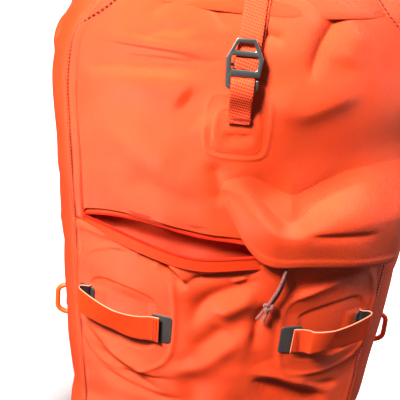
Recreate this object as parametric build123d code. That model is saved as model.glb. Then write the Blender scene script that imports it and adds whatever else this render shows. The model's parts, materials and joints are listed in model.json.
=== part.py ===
from build123d import *

# Large waterproof roll-top backpack, millimetres, standing on its base.
# Origin: centre of the flat base. +Z up, -Y front (pocket side), +Y back (harness side).
import functools
import math
import os

# ---- Overall size ----
WIDTH = 374.0  # widest point of the filled body
HEIGHT = 590.0  # base to the neck below the roll
FRONT_REACH = 140.0  # origin axis to the front panel
BACK_REACH = 96.0  # origin axis to the back panel
FRONT_RADIUS = 244.0  # curve of the front panel in plan
BACK_CORNER = 36.0
SKIN = 1.5  # coated fabric
BASE_THICKNESS = 3.0
BASE_HEIGHT = 25.0
TOP_SEAM = HEIGHT - 60.0
BACK_SEAM = 52.0  # side panels stop here, towards the back
SEAM_INSET = 3.0  # front panel edge, inside the corner's start
LAYER_GAP = 0.15  # between one layer and the next

# ---- Front pocket and its zip ----
ZIP_HEIGHT = HEIGHT - 290.0
ZIP_REACH = 145.0  # half length of the zip, across the bag
MOUTH_END = 44.0  # the open part of the zip stops here
MOUTH_HEIGHT = 16.0
LIP_DROP = 2.0
TAPE_THICKNESS = 0.8
TAPE_REACH = 4.0  # lower tape stands above the zip height by this
TAPE_HIDDEN = 6.0  # and reaches this far below it, behind the lip
COIL_HEIGHT = 1.6
COIL_DEPTH = 2.6
COIL_GAP = 1.4
POCKET_DEPTH = 20.0
POCKET_LOW = 75.0
POCKET_SHELF = 65.0  # height over which the pocket's back wall leans to the front panel
SLIDER_X = 50.0
SLIDER_LENGTH = 13.0
PLATE = 1.5
FLAP_TOP = ZIP_HEIGHT + 52.0
FLAP_PROUD = 13.0
CORD_DIAMETER = 3.0

# ---- Webbing and hardware on the front ----
WEB = 1.4
STRAP_WIDTH = 20.0
STRAP_X = -7.0
HOOK_LOW = HEIGHT - 127.0
HOOK_HEIGHT = 46.0
HOOK_THICKNESS = 3.2
HOOK_SIDE = 4.4  # metal beside the webbing
HOOK_PLAY = 1.6  # beside the webbing, in the hook's windows
HOOK_STANDOFF = 1.6
LOOP_LOW = HOOK_LOW - 33.0
HANDLE_HEIGHT = ZIP_HEIGHT - 88.0
HANDLE_WIDTH = 30.0
HANDLE_REACH = 42.0  # half length, between its sewn ends
HANDLE_GRIP = 30.0  # half length of the part that lifts
GRIP_GAP = 1.3  # between a lifting grip and its sewn ends
HANDLE_BULGE = 16.0
HANDLE_ANGLE = 25.4  # around the front's curve
PATCH = 0.8

# ---- Sides, top and back ----
SIDE_LOOP_LOW = 143.0
SIDE_LOOP_HIGH = 186.0
TUBE = 5.5
SIDE_STRAP_Y = 24.0
SIDE_STRAP_HIGH = 226.0
ROLL_RADIUS = 20.0
ROLL_WIDTH = 276.0
COLLAR_HEIGHT = 24.0
PAD_THICKNESS = 12.0
PAD_WIDTH = 232.0
PAD_LOW = 90.0
PAD_HIGH = HEIGHT - 110.0
HARNESS_WIDTH = 62.0
HARNESS_THICKNESS = 11.0
HARNESS_X = 62.0
HARNESS_TOP = PAD_HIGH - 18.0
HARNESS_LOW = 150.0
HARNESS_BOW = 44.0
LOCK_WIDTH = 30.0
HAUL_HEIGHT = PAD_HIGH + 15.0
HAUL_WIDTH = 20.0
HAUL_GRIP = 38.0
HAUL_BULGE = 26.0
FAR = 400.0  # longer than any part of the bag, for cutting

# Share of: height, half width, half width at the front seam, front reach, back reach,
# front radius.
PROFILE = (
    (0.000, 0.695, 0.600, 0.714, 0.940, 0.836),
    (0.042, 0.791, 0.685, 0.843, 0.960, 0.910),
    (0.170, 0.834, 0.722, 0.907, 0.970, 0.947),
    (0.340, 0.888, 0.770, 0.950, 0.980, 0.971),
    (0.510, 0.936, 0.807, 0.986, 1.000, 0.992),
    (0.678, 0.984, 0.856, 1.000, 1.000, 1.000),
    (0.763, 1.000, 0.872, 0.986, 1.000, 0.992),
    (0.814, 0.963, 0.856, 0.957, 0.979, 0.975),
    (0.856, 0.861, 0.802, 0.914, 0.938, 0.967),
    (0.898, 0.749, 0.701, 0.829, 0.875, 0.984),
    (0.949, 0.631, 0.578, 0.629, 0.729, 1.066),
    (1.000, 0.578, 0.497, 0.286, 0.354, 1.393),
)
NECK_BEND, SHOULDER, UPPER_BEND = (PROFILE[row][0] * HEIGHT for row in (-2, -3, -4))
SIZES = (WIDTH / 2, WIDTH / 2, FRONT_REACH, BACK_REACH, FRONT_RADIUS)


def shape(height):
    """Half width, seam half width, front reach, back reach and front radius at a height."""
    share = min(max(height / HEIGHT, 0.0), 1.0)
    for low, high in zip(PROFILE, PROFILE[1:]):
        if share <= high[0]:
            part = (share - low[0]) / (high[0] - low[0])
            row = [a + (b - a) * part for a, b in zip(low[1:], high[1:])]
            return [value * size for value, size in zip(row, SIZES)]
    return None


def front(height):
    return shape(height)[2]


def section(height, grow):
    """Closed outline of the bag at a height: front arc, corners, sides and flat back."""
    half, seam, reach, back, radius = shape(height)
    axis = radius - reach
    turn = math.asin(seam / radius)
    corner = (half - seam) / (1 - math.sin(turn))
    corner_x = (radius - corner) * math.sin(turn)
    corner_y = axis - (radius - corner) * math.cos(turn)
    rear = min(BACK_CORNER, 0.5 * (back - corner_y))
    middle = (turn + math.pi / 2) / 2
    half, back, radius, corner, bend = half + grow, back + grow, radius + grow, corner + grow, rear + grow
    slant = bend * math.sqrt(0.5)
    right = [
        (radius * math.sin(turn), axis - radius * math.cos(turn)),
        (corner_x + corner * math.sin(middle), corner_y - corner * math.cos(middle)),
        (half, corner_y),
        (half, back - bend),
        (half - bend + slant, back - bend + slant),
        (half - bend, back),
    ]
    rt = [Vector(x, y, height) for x, y in right]
    lt = [Vector(-x, y, height) for x, y in right]
    nose = Vector(0, axis - radius, height)
    return Wire(
        [
            Edge.make_three_point_arc(lt[0], nose, rt[0]),
            Edge.make_three_point_arc(rt[0], rt[1], rt[2]),
            Edge.make_line(rt[2], rt[3]),
            Edge.make_three_point_arc(rt[3], rt[4], rt[5]),
            Edge.make_line(rt[5], lt[5]),
            Edge.make_three_point_arc(lt[5], lt[4], lt[3]),
            Edge.make_line(lt[3], lt[2]),
            Edge.make_three_point_arc(lt[2], lt[1], lt[0]),
        ]
    )


@functools.lru_cache(maxsize=None)
def body(grow, low=0.0, high=HEIGHT):
    """Solid of the filled bag, grown or shrunk level by level."""
    heights = {row[0] * HEIGHT for row in PROFILE} | {ZIP_HEIGHT}
    inside = sorted(z for z in heights if low + 1 < z < high - 1)
    return Part() + Solid.make_loft([section(z, grow) for z in [low, *inside, high]], ruled=True)


def slab(low, high, y_from=-FAR, y_to=FAR):
    """Block across the whole width, between two heights and two depths."""
    box = Box(2 * FAR, y_to - y_from, high - low)
    return Pos(0, (y_from + y_to) / 2, (low + high) / 2) * box


def forward(face):
    """Prism from a face drawn in the x, z plane towards the front."""
    return extrude(Plane.XZ * face, FAR)


def backward(face):
    return extrude(Plane.XZ * face, -FAR)


def layer(prism, inner, outer):
    """A sheet that follows the bag, between two offsets, inside a prism."""
    return (prism & body(outer)) - body(inner)


def front_outline(low, high, inset):
    heights = [row[0] * HEIGHT for row in PROFILE]
    levels = [low, *[z for z in heights if low + 1 < z < high - 1], high]
    right = [(shape(z)[1] - inset, z) for z in levels]
    left = [(-x, z) for x, z in reversed(right)]
    return forward(make_face(Polyline(*right, *left, close=True)))


ZIP_RADIUS = shape(ZIP_HEIGHT)[4]
AXIS_Y = ZIP_RADIUS - front(ZIP_HEIGHT)


TAPE_RADIUS = shape(ZIP_HEIGHT - TAPE_HIDDEN)[4] - SKIN - LAYER_GAP


def arc_angle(x, radius=ZIP_RADIUS):
    """Degrees around the front's curve, from its middle towards +X."""
    return math.degrees(math.asin(x / radius))


def on_arc(angle, radius, height):
    """Place on the front's curve: local +X runs along it, local -Y points out."""
    return Pos(0, AXIS_Y, height) * Rot(0, 0, angle) * Pos(0, -radius, 0)


def sector(inner, outer, low, high, start, end, center_y=AXIS_Y):
    """Part of a ring around a vertical line on the bag's middle plane."""

    def at(radius, angle):
        turn = math.radians(angle)
        return Vector(radius * math.sin(turn), center_y - radius * math.cos(turn), low)

    middle = (start + end) / 2
    outline = Wire(
        [
            Edge.make_three_point_arc(at(outer, start), at(outer, middle), at(outer, end)),
            Edge.make_line(at(outer, end), at(inner, end)),
            Edge.make_three_point_arc(at(inner, end), at(inner, middle), at(inner, start)),
            Edge.make_line(at(inner, start), at(outer, start)),
        ]
    )
    return extrude(Face(outline), high - low, dir=(0, 0, 1))


def ribbon(points, radii, width, thickness=WEB, x=0.0):
    """Webbing that follows points given as (y, z), with its width along X."""
    path = FilletPolyline(*points, radius=radii)
    return Pos(x, 0, 0) * extrude(Plane.YZ * trace(path, thickness), width / 2, both=True)


# ---- Body panels ----
def panels():
    shell = body(0.0) - body(-SKIN, BASE_THICKNESS)
    front_top = TOP_SEAM + 40
    outline = front_outline(BASE_HEIGHT, front_top, SEAM_INSET)
    rear = slab(BASE_HEIGHT, TOP_SEAM, y_from=BACK_SEAM)
    band = (shell & slab(BASE_HEIGHT, TOP_SEAM)) - outline - rear
    left = Pos(-FAR, 0, 0) * Box(2 * FAR, 2 * FAR, 2 * HEIGHT + FAR)
    lower = front_outline(BASE_HEIGHT, ZIP_HEIGHT - LIP_DROP, SEAM_INSET)
    edge = TAPE_REACH + 2 * COIL_HEIGHT + COIL_GAP + 6
    return {
        "base_panel": shell & slab(-1, BASE_HEIGHT),
        "front_panel": (shell & outline) - below_mouth(edge),
        "pocket_panel": shell & lower,
        "back_panel": shell & rear,
        "side_panel_left": band & left,
        "side_panel_right": band - left,
        "top_panel": (shell & slab(TOP_SEAM, HEIGHT + 1)) - outline,
    }


# ---- Front pocket ----
def below_mouth(lift):
    """Prism under the pocket's upper edge, raised by lift above the zip height."""
    base = ZIP_HEIGHT + lift
    middle = (MOUTH_END - ZIP_REACH) / 2
    rise = ThreePointArc((-ZIP_REACH, base), (middle, base + MOUTH_HEIGHT), (MOUTH_END, base))
    rest = Polyline(
        (MOUTH_END, base), (FAR, base), (FAR, -FAR), (-FAR, -FAR), (-FAR, base), (-ZIP_REACH, base)
    )
    return forward(make_face([*rise.edges(), *rest.edges()]))


def pocket_wall():
    """Wall between the pocket and the main compartment, with the pocket's floor."""
    face_y = -(front(ZIP_HEIGHT) - POCKET_DEPTH)
    half = shape(ZIP_HEIGHT)[1]
    sag = front(ZIP_HEIGHT) - POCKET_DEPTH - shape(ZIP_HEIGHT)[0] * 0.4
    radius = (half**2 + sag**2) / (2 * sag)
    shelf_low = ZIP_HEIGHT - 10
    shelf_top = shelf_low + POCKET_SHELF + 10
    top_radius = shape(shelf_top)[4] - SKIN - LAYER_GAP
    center = face_y + radius
    wide = math.degrees(math.asin((half + 8) / radius))
    upright = sector(radius - 1, radius, POCKET_LOW, shelf_low, -wide, wide, center)

    def rim(outer, center_y, reach, height):
        turn = math.degrees(math.asin(reach / outer))
        strip = sector(outer - 1, outer, height, height + 1, -turn, turn, center_y)
        return strip.faces().sort_by(Axis.Z)[0].outer_wire()

    top_center = shape(shelf_top)[4] - front(shelf_top)
    lean = Solid.make_loft(
        [rim(radius, center, half + 8, shelf_low), rim(top_radius, top_center, half + 4, shelf_top)],
        ruled=True,
    )
    floor = slab(POCKET_LOW, POCKET_LOW + 1, y_to=0) - Pos(0, center, POCKET_LOW) * Cylinder(radius - 0.5, 40)
    return (upright + lean + floor) & body(-SKIN - LAYER_GAP)


def zip_parts():
    end = arc_angle(ZIP_REACH)
    back = TAPE_RADIUS
    coil_in = back - TAPE_THICKNESS / 2 - COIL_DEPTH / 2
    low = ZIP_HEIGHT + TAPE_REACH
    upper = TAPE_REACH + COIL_HEIGHT + COIL_GAP
    tall = ZIP_HEIGHT + MOUTH_HEIGHT + 60
    band = sector(back - TAPE_THICKNESS, back, ZIP_HEIGHT - 10, tall, -end, end)
    teeth = sector(coil_in, coil_in + COIL_DEPTH, ZIP_HEIGHT, tall, -end, end)
    stops = [
        on_arc(side * (end + 0.45), back - TAPE_THICKNESS / 2, low + COIL_HEIGHT + COIL_GAP / 2)
        * Box(2.0, COIL_DEPTH, 2 * COIL_HEIGHT + COIL_GAP)
        for side in (-1, 1)
    ]
    return {
        "zip_tape_lower": sector(back - TAPE_THICKNESS, back, ZIP_HEIGHT - TAPE_HIDDEN, low, -end, end),
        "zip_coil_lower": sector(coil_in, coil_in + COIL_DEPTH, low, low + COIL_HEIGHT, -end, end),
        "zip_coil_upper": (teeth & below_mouth(upper + COIL_HEIGHT)) - below_mouth(upper),
        "zip_tape_upper": (band & below_mouth(upper + COIL_HEIGHT + 15)) - below_mouth(upper + COIL_HEIGHT),
        "zip_end_stops": Part() + stops,
    }


def slider_parts():
    """Slider, its pull ring, and the cord that hangs from the ring."""
    angle = arc_angle(SLIDER_X)
    half = math.degrees(SLIDER_LENGTH / 2 / ZIP_RADIUS)
    middle = ZIP_HEIGHT + TAPE_REACH + COIL_HEIGHT + COIL_GAP / 2
    low, high = middle - 4.8, middle + 4.8
    front_face = ZIP_RADIUS + 0.4
    rear_face = TAPE_RADIUS - TAPE_THICKNESS / 2 - COIL_DEPTH / 2 - 0.7
    plates = sector(front_face, front_face + PLATE, low, high, angle - half, angle + half)
    plates += sector(rear_face - PLATE, rear_face, low, high, angle - half, angle + half)
    plates += sector(rear_face, front_face, middle - 0.4, middle + 0.4, angle - half / 2, angle + half / 2)
    face = front_face + PLATE
    ring_out = face + 1.3
    legs = [on_arc(angle, face + 1.2, z) * Box(2.4, 3.6, 1.2) for z in (middle + 3.4, middle - 2.2)]
    bar = on_arc(angle, face + 3.0, middle + 0.6) * Box(2.4, 0.8, 6.8)
    hinge = on_arc(angle, ring_out, middle + 1.2)
    frame = RectangleRounded(8.6, 12.0, 2.0) - RectangleRounded(6.2, 9.6, 1.4)
    ring = extrude(Plane.XZ * frame, 0.6, both=True)
    ring = hinge * Rot(-15, 0, 0) * Pos(0, 0, -5.4) * ring
    return {"zip_slider": plates + legs + bar, "zip_pull_ring": ring}


def cord_tube(points):
    """Round cord through hand-placed points, each bend as large as its runs allow."""
    radii = []
    for a, b, c in zip(points, points[1:], points[2:]):
        before, after = Vector(*b) - Vector(*a), Vector(*c) - Vector(*b)
        turn = math.radians(before.get_angle(after))
        radii.append(0.45 * min(before.length, after.length) / math.tan(turn / 2))
    print("cord bend radii", [round(r, 1) for r in radii])
    path = FilletPolyline(*points, radius=radii)
    start = Plane(origin=path @ 0, z_dir=path % 0)
    tube = sweep(start * Circle(CORD_DIAMETER / 2), path=path)
    print("cord volume ratio", round(tube.volume / (math.pi * CORD_DIAMETER**2 / 4 * path.length), 4))
    return tube


# The pull cord is tied through the ring: one leg in front of the ring's bar, one behind it.
CORD_FRONT = [
    (51.3, -138.7, 300.3),
    (51.7, -140.7, 299.3),
    (51.6, -141.6, 296.7),
    (50.7, -141.8, 291.6),
    (48.9, -141.4, 282.5),
    (46.3, -140.9, 273.5),
    (42.8, -140.2, 264.5),
    (38.8, -139.4, 255.5),
    (34.4, -138.9, 246.8),
    (29.6, -138.7, 239.0),
]
CORD_REAR = [
    (51.2, -138.6, 300.3),
    (50.9, -136.6, 299.3),
    (50.9, -135.8, 296.7),
    (51.3, -136.2, 291.4),
    (51.1, -137.2, 282.5),
    (49.4, -137.9, 273.5),
    (46.2, -138.1, 264.5),
    (42.0, -137.8, 255.5),
    (38.6, -138.2, 246.0),
    (36.0, -138.7, 236.5),
]


def cord_parts():
    knot = Pos(39.8, -138.8, 255.4) * Sphere(4.6)
    knot += Pos(38.6, -139.2, 251.0) * Rot(20, 70, 0) * Torus(3.4, 1.7)
    return {
        "pull_cord_front": cord_tube(CORD_FRONT),
        "pull_cord_rear": cord_tube(CORD_REAR),
        "cord_knot": knot,
    }


def storm_flap():
    """Hood of fabric over the closed half of the zip."""
    top = shape(FLAP_TOP)[4] + LAYER_GAP
    hem = ZIP_RADIUS + FLAP_PROUD
    line = [
        (top, FLAP_TOP),
        (top + 5.0, ZIP_HEIGHT + 34),
        (hem - 1.0, ZIP_HEIGHT + 14),
        (hem, ZIP_HEIGHT - 3),
    ]
    inner = [(AXIS_Y - r, z) for r, z in line]
    outer = [(AXIS_Y - r - 1.2, z) for r, z in reversed(line)]
    strip = make_face(Plane.YZ * Polyline(*inner, *outer, close=True))
    turn = arc_angle(ZIP_REACH + 4)
    skirt = revolve(strip, Axis((0, AXIS_Y, 0), (0, 0, 1)), turn)
    low = ZIP_HEIGHT - 5
    edge = Polyline(
        (2, FLAP_TOP + 1), (2, ZIP_HEIGHT + 41), (28, ZIP_HEIGHT + 6), (40, low), (FAR, low), (FAR, FLAP_TOP + 1),
        close=True,
    )
    return skirt & forward(make_face(edge))


# ---- Front hardware ----
LEAN = math.atan2(front(HOOK_LOW) - front(HOOK_LOW + HOOK_HEIGHT), HOOK_HEIGHT)
HOOK_FACE = 7.6  # back face of the hook, from its base line
HOOK_BAR = 23.0  # height of the hook's recessed webbing bar


def hook_point(up, out):
    """A point (y, z) near the hook, from its foot: up along it and out from the bag."""
    y = -front(HOOK_LOW) - HOOK_STANDOFF + up * math.sin(LEAN) - out * math.cos(LEAN)
    return (y, HOOK_LOW + up * math.cos(LEAN) + out * math.sin(LEAN))


def surface_point(height, out):
    return (-front(height) - out, height)


def hook():
    """Ladder hook: outer frame with two webbing windows and an open hook below."""
    web = STRAP_WIDTH / 2
    window = web + HOOK_PLAY
    half = window + HOOK_SIDE
    outline = Polyline(
        (-web + 2, 46), (web - 2, 46), (half, 29), (half - 2, 13.5), (-half + 5.4, 13.5), (-half + 5.4, 7),
        (web + 0.8, 7), (web + 0.8, 11.5), (half - 2.5, 11.5), (half - 2.5, 3.4), (web + 0.5, 0.6),
        (-web + 1, 0.6), (-half + 1.2, 5), (-half, 29),
        close=True,
    )
    face = make_face(outline)
    face = fillet(face.vertices(), 1.2)
    upper = make_face(
        Polyline((-web + 3.6, 42), (web - 3.6, 42), (web - 0.4, 35.5), (-web + 0.4, 35.5), close=True)
    )
    lower = make_face(
        Polyline((-window, 31), (window, 31), (window - 0.6, 19.5), (-window + 0.6, 19.5), close=True)
    )
    windows = fillet(upper.vertices(), 1.0) + fillet(lower.vertices(), 1.0)
    plate = extrude(Plane.XZ * (face - windows), HOOK_THICKNESS)
    bar = Pos(0, 1.8, HOOK_BAR) * Box(2 * (window + 1.6), 1.4, 2.6)
    lugs = [Pos(side * (window + 0.8), 1.35, HOOK_BAR) * Box(1.6, 2.7, 2.6) for side in (-1, 1)]
    y, z = hook_point(0, HOOK_FACE)
    return Pos(STRAP_X, y, z) * Rot(-math.degrees(LEAN), 0, 0) * (plate + bar + lugs)


def front_strap():
    """Top webbing: round the hook's bar, over the roll and down to the back panel."""
    crown = HEIGHT + COLLAR_HEIGHT + 2 * ROLL_RADIUS
    points = [
        surface_point(SHOULDER, 1.2),
        surface_point(UPPER_BEND, 1.2),
        hook_point(33, 1.6),
        hook_point(HOOK_BAR + 3, 3.3),
        hook_point(HOOK_BAR - 2.6, 3.3),
        hook_point(HOOK_BAR - 2.6, 7.6),
        hook_point(HOOK_BAR + 4, 7.6),
        hook_point(32.5, 5.8),
        hook_point(45, 4.0),
        surface_point(SHOULDER, 3.2),
        surface_point(NECK_BEND, 3.2),
        (-front(HEIGHT) - 3.0, HEIGHT + 2),
        (-ROLL_RADIUS - 6, HEIGHT + COLLAR_HEIGHT),
        (-ROLL_RADIUS - 3, crown - 10),
        (-ROLL_RADIUS + 8, crown + 1.6),
        (ROLL_RADIUS - 8, crown + 1.6),
        (ROLL_RADIUS + 3, crown - 10),
        (ROLL_RADIUS + 6, HEIGHT + COLLAR_HEIGHT),
        (shape(HEIGHT)[3] + 6.0, HEIGHT + 2),
        (shape(NECK_BEND)[3] + 3.0, NECK_BEND),
        (shape(SHOULDER)[3] + 2.0, SHOULDER),
        (shape(SHOULDER - 12)[3] + 1.6, SHOULDER - 12),
    ]
    radii = [8, 8, 3, 2.1, 2.1, 3, 6, 8, 8, 8, 12, 12, 8, 8, 8, 8, 12, 12, 8, 8]
    return ribbon(points, radii, STRAP_WIDTH, x=STRAP_X)


def hook_loop():
    points = [
        surface_point(LOOP_LOW, 2.0),
        surface_point(HOOK_LOW - 6, 2.2),
        hook_point(11.8, 1.9),
        hook_point(11.8, 12.6),
        hook_point(-4, 12.2),
        surface_point(LOOP_LOW + 12, 3.6),
        surface_point(LOOP_LOW, 3.6),
    ]
    return ribbon(points, [8, 4.6, 4.6, 8, 8], STRAP_WIDTH, x=STRAP_X)


def rounded(x, z, width, height, radius):
    return Pos(x, z) * RectangleRounded(width, height, radius)


def handles(side):
    """Sewn patch, end tabs, fixed ends and the webbing grip of one front handle."""
    name = "left" if side < 0 else "right"
    radius = shape(HANDLE_HEIGHT)[4]
    turn = side * HANDLE_ANGLE
    center = radius * math.sin(math.radians(turn))
    inner = radius * math.sin(math.radians(HANDLE_ANGLE) - HANDLE_REACH / radius)
    outer = radius * math.sin(math.radians(HANDLE_ANGLE) + HANDLE_REACH / radius)
    patch = layer(
        forward(rounded(center, HANDLE_HEIGHT + 10, outer - inner + 22, 116, 16)), LAYER_GAP, PATCH
    )
    base = PATCH + LAYER_GAP
    tabs = [
        layer(forward(rounded(side * (x + shift), HANDLE_HEIGHT, 25, HANDLE_WIDTH + 2, 5)), base, base + 1.2)
        for x, shift in ((inner, -1.5), (outer, -5.0))
    ]
    sag = radius - math.sqrt(radius**2 - HANDLE_REACH**2)
    foot = base + 1.5 + LAYER_GAP + WEB / 2
    rise = 7.0
    slope = math.degrees(math.atan((shape(HANDLE_HEIGHT + 10)[4] - shape(HANDLE_HEIGHT - 10)[4]) / 20))
    place = on_arc(turn, radius, HANDLE_HEIGHT) * Rot(slope, 0, 0)
    ends = Part()
    for way in (-1, 1):
        strip = Polyline(
            (way * (HANDLE_REACH + 6), sag + 1.2 - foot),
            (way * HANDLE_REACH, sag - foot),
            (way * (HANDLE_GRIP + GRIP_GAP), -rise),
        )
        ends += extrude(trace(strip, WEB), HANDLE_WIDTH / 2, both=True)
    grip = ThreePointArc((-HANDLE_GRIP, -rise), (0, -HANDLE_BULGE), (HANDLE_GRIP, -rise))
    return {
        f"handle_patch_{name}": patch,
        f"handle_tabs_{name}": Part() + tabs,
        f"handle_ends_{name}": place * ends,
        f"handle_grip_{name}": place * extrude(trace(grip, WEB), HANDLE_WIDTH / 2, both=True),
    }


# ---- Sides ----
def side_x(height, out=0.0):
    return shape(height)[0] + out


def side_parts(side):
    name = "left" if side < 0 else "right"
    middle = (SIDE_LOOP_LOW + SIDE_LOOP_HIGH) / 2
    tall = SIDE_LOOP_HIGH - SIDE_LOOP_LOW
    root = side_x(SIDE_LOOP_HIGH, 1.2 + TUBE / 2 + 2.2)
    reach = root + 15
    y = -12.0
    bow = FilletPolyline(
        (root, SIDE_LOOP_LOW + TUBE / 2),
        (root, SIDE_LOOP_HIGH - TUBE / 2),
        (reach, SIDE_LOOP_HIGH - TUBE / 2),
        (reach, SIDE_LOOP_LOW + TUBE / 2),
        radius=[4, 11, 11, 4],
        close=True,
    )
    path = Plane.XZ * bow
    ring = Pos(0, y, 0) * sweep(Plane(origin=path @ 0, z_dir=path % 0) * Circle(TUBE / 2), path=path)
    patch_face = Plane.YZ * Pos(y, middle) * RectangleRounded(30, tall + 16, 6)
    sleeve_base = layer(extrude(patch_face, FAR), LAYER_GAP, 1.0)
    keeper = Pos(root, y, middle) * (Cylinder(TUBE / 2 + 1.5, 12) - Cylinder(TUBE / 2 + 0.3, 14))
    face = side_x(middle, 1.6)
    bridge = Pos((face + root) / 2, y, middle) * Box(root - face, 5, 10)
    keeper = keeper + (bridge - Pos(root, y, middle) * Cylinder(TUBE / 2 + 0.5, 14))
    low, high = SIDE_LOOP_LOW - 3, SIDE_STRAP_HIGH
    strap_line = [
        (side_x(low, 1.2), low),
        (side_x(high - 36, 1.2), high - 36),
        (side_x(high - 24, 7.5), high - 24),
        (side_x(high - 6, 8.5), high - 6),
        (side_x(high, 3.0), high),
        (side_x(high + 22, 1.2), high + 22),
    ]
    webbing = FilletPolyline(*strap_line, radius=[10, 6, 4, 3])
    strap = Pos(0, SIDE_STRAP_Y, 0) * extrude(Plane.XZ * trace(webbing, WEB), 8, both=True)
    parts = {
        f"side_loop_{name}": ring,
        f"side_loop_patch_{name}": sleeve_base,
        f"side_loop_keeper_{name}": keeper,
        f"side_strap_{name}": strap,
    }
    if side < 0:
        parts = {key: mirror(value, Plane.YZ) for key, value in parts.items()}
    return parts


# ---- Top ----
def collar():
    """Neck that closes to a flat edge, below the roll."""

    def tube(shrink):
        half, _, reach, back, _ = shape(HEIGHT)
        low = Pos(0, (back - reach) / 2, HEIGHT) * RectangleRounded(
            2 * (half - shrink), reach + back - 2 * shrink, 20 - shrink
        )
        top = Pos(0, 0, HEIGHT + COLLAR_HEIGHT) * RectangleRounded(
            ROLL_WIDTH - 16 - 2 * shrink, 8 - 2 * shrink, 3.9 - shrink
        )
        return loft([low, top], ruled=True)

    return tube(0) - tube(SKIN)


def roll():
    """Rolled closure: half turns of shrinking radius, wound about a stiff strip."""
    pitch = 3.2
    turns = Part()
    y = 0.0
    middle = HEIGHT + COLLAR_HEIGHT + ROLL_RADIUS
    radius = ROLL_RADIUS
    for index in range(5):
        ring = Circle(radius) - Circle(radius - 2.0)
        keep = Pos(0, (1 if index % 2 else -1) * FAR / 2) * Rectangle(FAR, FAR)
        turns += extrude(Plane.YZ * Pos(y, middle) * (ring & keep), ROLL_WIDTH / 2, both=True)
        y += (1 if index % 2 else -1) * pitch
        radius -= pitch
    stiffener = Pos(0, 0, middle - 1) * Box(ROLL_WIDTH - 20, 2.4, 8.0)
    return {"roll_closure": turns, "roll_stiffener": stiffener}


# ---- Back and harness ----
def back_parts():
    tall = PAD_HIGH - PAD_LOW
    pad_face = rounded(0, (PAD_LOW + PAD_HIGH) / 2, PAD_WIDTH, tall, 40)
    groove = rounded(0, (PAD_LOW + PAD_HIGH) / 2, 24, tall + 10, 4)
    sheet = rounded(0, (PAD_LOW + PAD_HIGH) / 2, PAD_WIDTH - 10, tall - 10, 30)
    inside = -SKIN - LAYER_GAP
    stay_face = rounded(0, (PAD_LOW + PAD_HIGH) / 2, 25, tall - 40, 6)
    top_y = shape(HARNESS_TOP)[3] + PAD_THICKNESS
    yoke_face = rounded(0, HARNESS_TOP + 4, 2 * HARNESS_X + HARNESS_WIDTH, 26, 6)
    loop_y = shape(HAUL_HEIGHT - HAUL_WIDTH / 2)[3] + 2.0
    grip = ThreePointArc((-HAUL_GRIP, loop_y + 7), (0, loop_y + HAUL_BULGE), (HAUL_GRIP, loop_y + 7))
    haul_ends = Part()
    for way in (-1, 1):
        foot = Polyline(
            (way * (HAUL_GRIP + 22), loop_y + 1), (way * (HAUL_GRIP + 12), loop_y + 1),
            (way * (HAUL_GRIP + GRIP_GAP), loop_y + 7),
        )
        haul_ends += extrude(trace(foot, 2.0), HAUL_WIDTH / 2, both=True)
    haul_place = Pos(0, 0, HAUL_HEIGHT)
    return {
        "back_pad": layer(backward(pad_face - groove), LAYER_GAP, PAD_THICKNESS),
        "frame_sheet": layer(backward(sheet), inside - 1.5, inside),
        "frame_stay": layer(backward(stay_face), inside - 1.65 - 3, inside - 1.65),
        "harness_yoke": layer(backward(yoke_face), PAD_THICKNESS + LAYER_GAP, PAD_THICKNESS + 3),
        "haul_loop": haul_place * extrude(trace(grip, 2.0), HAUL_WIDTH / 2, both=True),
        "haul_ends": haul_place * haul_ends,
        **{f"shoulder_strap_{n}": shoulder(s, top_y) for s, n in ((-1, "left"), (1, "right"))},
    }


def harness_line(top_y):
    """Side view of a shoulder strap, as (y, z) points from the yoke to the lock."""
    return (
        (top_y + 11, HARNESS_TOP - 2),
        (top_y + HARNESS_BOW, (HARNESS_TOP + HARNESS_LOW) / 2 + 40),
        (top_y + 14, HARNESS_LOW),
    )


def shoulder(side, top_y):
    side_view = extrude(
        Plane.YZ * trace(ThreePointArc(*harness_line(top_y)), HARNESS_THICKNESS), FAR, both=True
    )
    low_x = HARNESS_X + 40
    line = Spline((side * HARNESS_X, HARNESS_TOP + 30), (side * (HARNESS_X - 6), 380), (side * low_x, 120))
    return side_view & backward(trace(line, HARNESS_WIDTH))


def harness_parts(side):
    """Ladder lock on the shoulder strap, and the webbing and anchor it pulls on."""
    name = "left" if side < 0 else "right"
    top_y = shape(HARNESS_TOP)[3] + PAD_THICKNESS
    x = side * (HARNESS_X + 34)
    y = top_y + 12
    frame = Rectangle(LOCK_WIDTH, 26) - Pos(0, 6.5) * Rectangle(LOCK_WIDTH - 8, 6) - Pos(0, -4) * Rectangle(
        LOCK_WIDTH - 8, 7
    )
    lock = Pos(x, y, HARNESS_LOW - 15) * extrude(Plane.XZ * frame, 2.0, both=True)
    foot = 40.0
    anchor_y = shape(foot + 20)[3]
    anchor = Polyline(
        (x + side * 42, foot - 6), (x + side * 42, foot + 34), (x - side * 14, foot + 34), close=True
    )
    wing = layer(backward(make_face(anchor)), LAYER_GAP, 2.4)
    web = [(anchor_y + 5.2, foot + 14), (anchor_y + 12, foot + 34), (y - 3, HARNESS_LOW - 34)]
    return {
        f"ladder_lock_{name}": lock,
        f"anchor_wing_{name}": wing,
        f"lower_webbing_{name}": ribbon(web, [12], STRAP_WIDTH, x=x),
    }


def build():
    parts = panels()
    parts["pocket_wall"] = pocket_wall()
    parts |= zip_parts()
    parts |= slider_parts()
    parts |= cord_parts()
    parts["storm_flap"] = storm_flap()
    parts["hook_buckle"] = hook()
    parts["top_strap"] = front_strap()
    parts["hook_loop"] = hook_loop()
    parts["loop_patch"] = layer(forward(rounded(STRAP_X, LOOP_LOW - 3, 46, 40, 10)), LAYER_GAP, PATCH)
    parts["collar"] = collar()
    parts |= roll()
    parts |= back_parts()
    for side in (-1, 1):
        parts |= handles(side)
        parts |= side_parts(side)
        parts |= harness_parts(side)
    return parts


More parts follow.
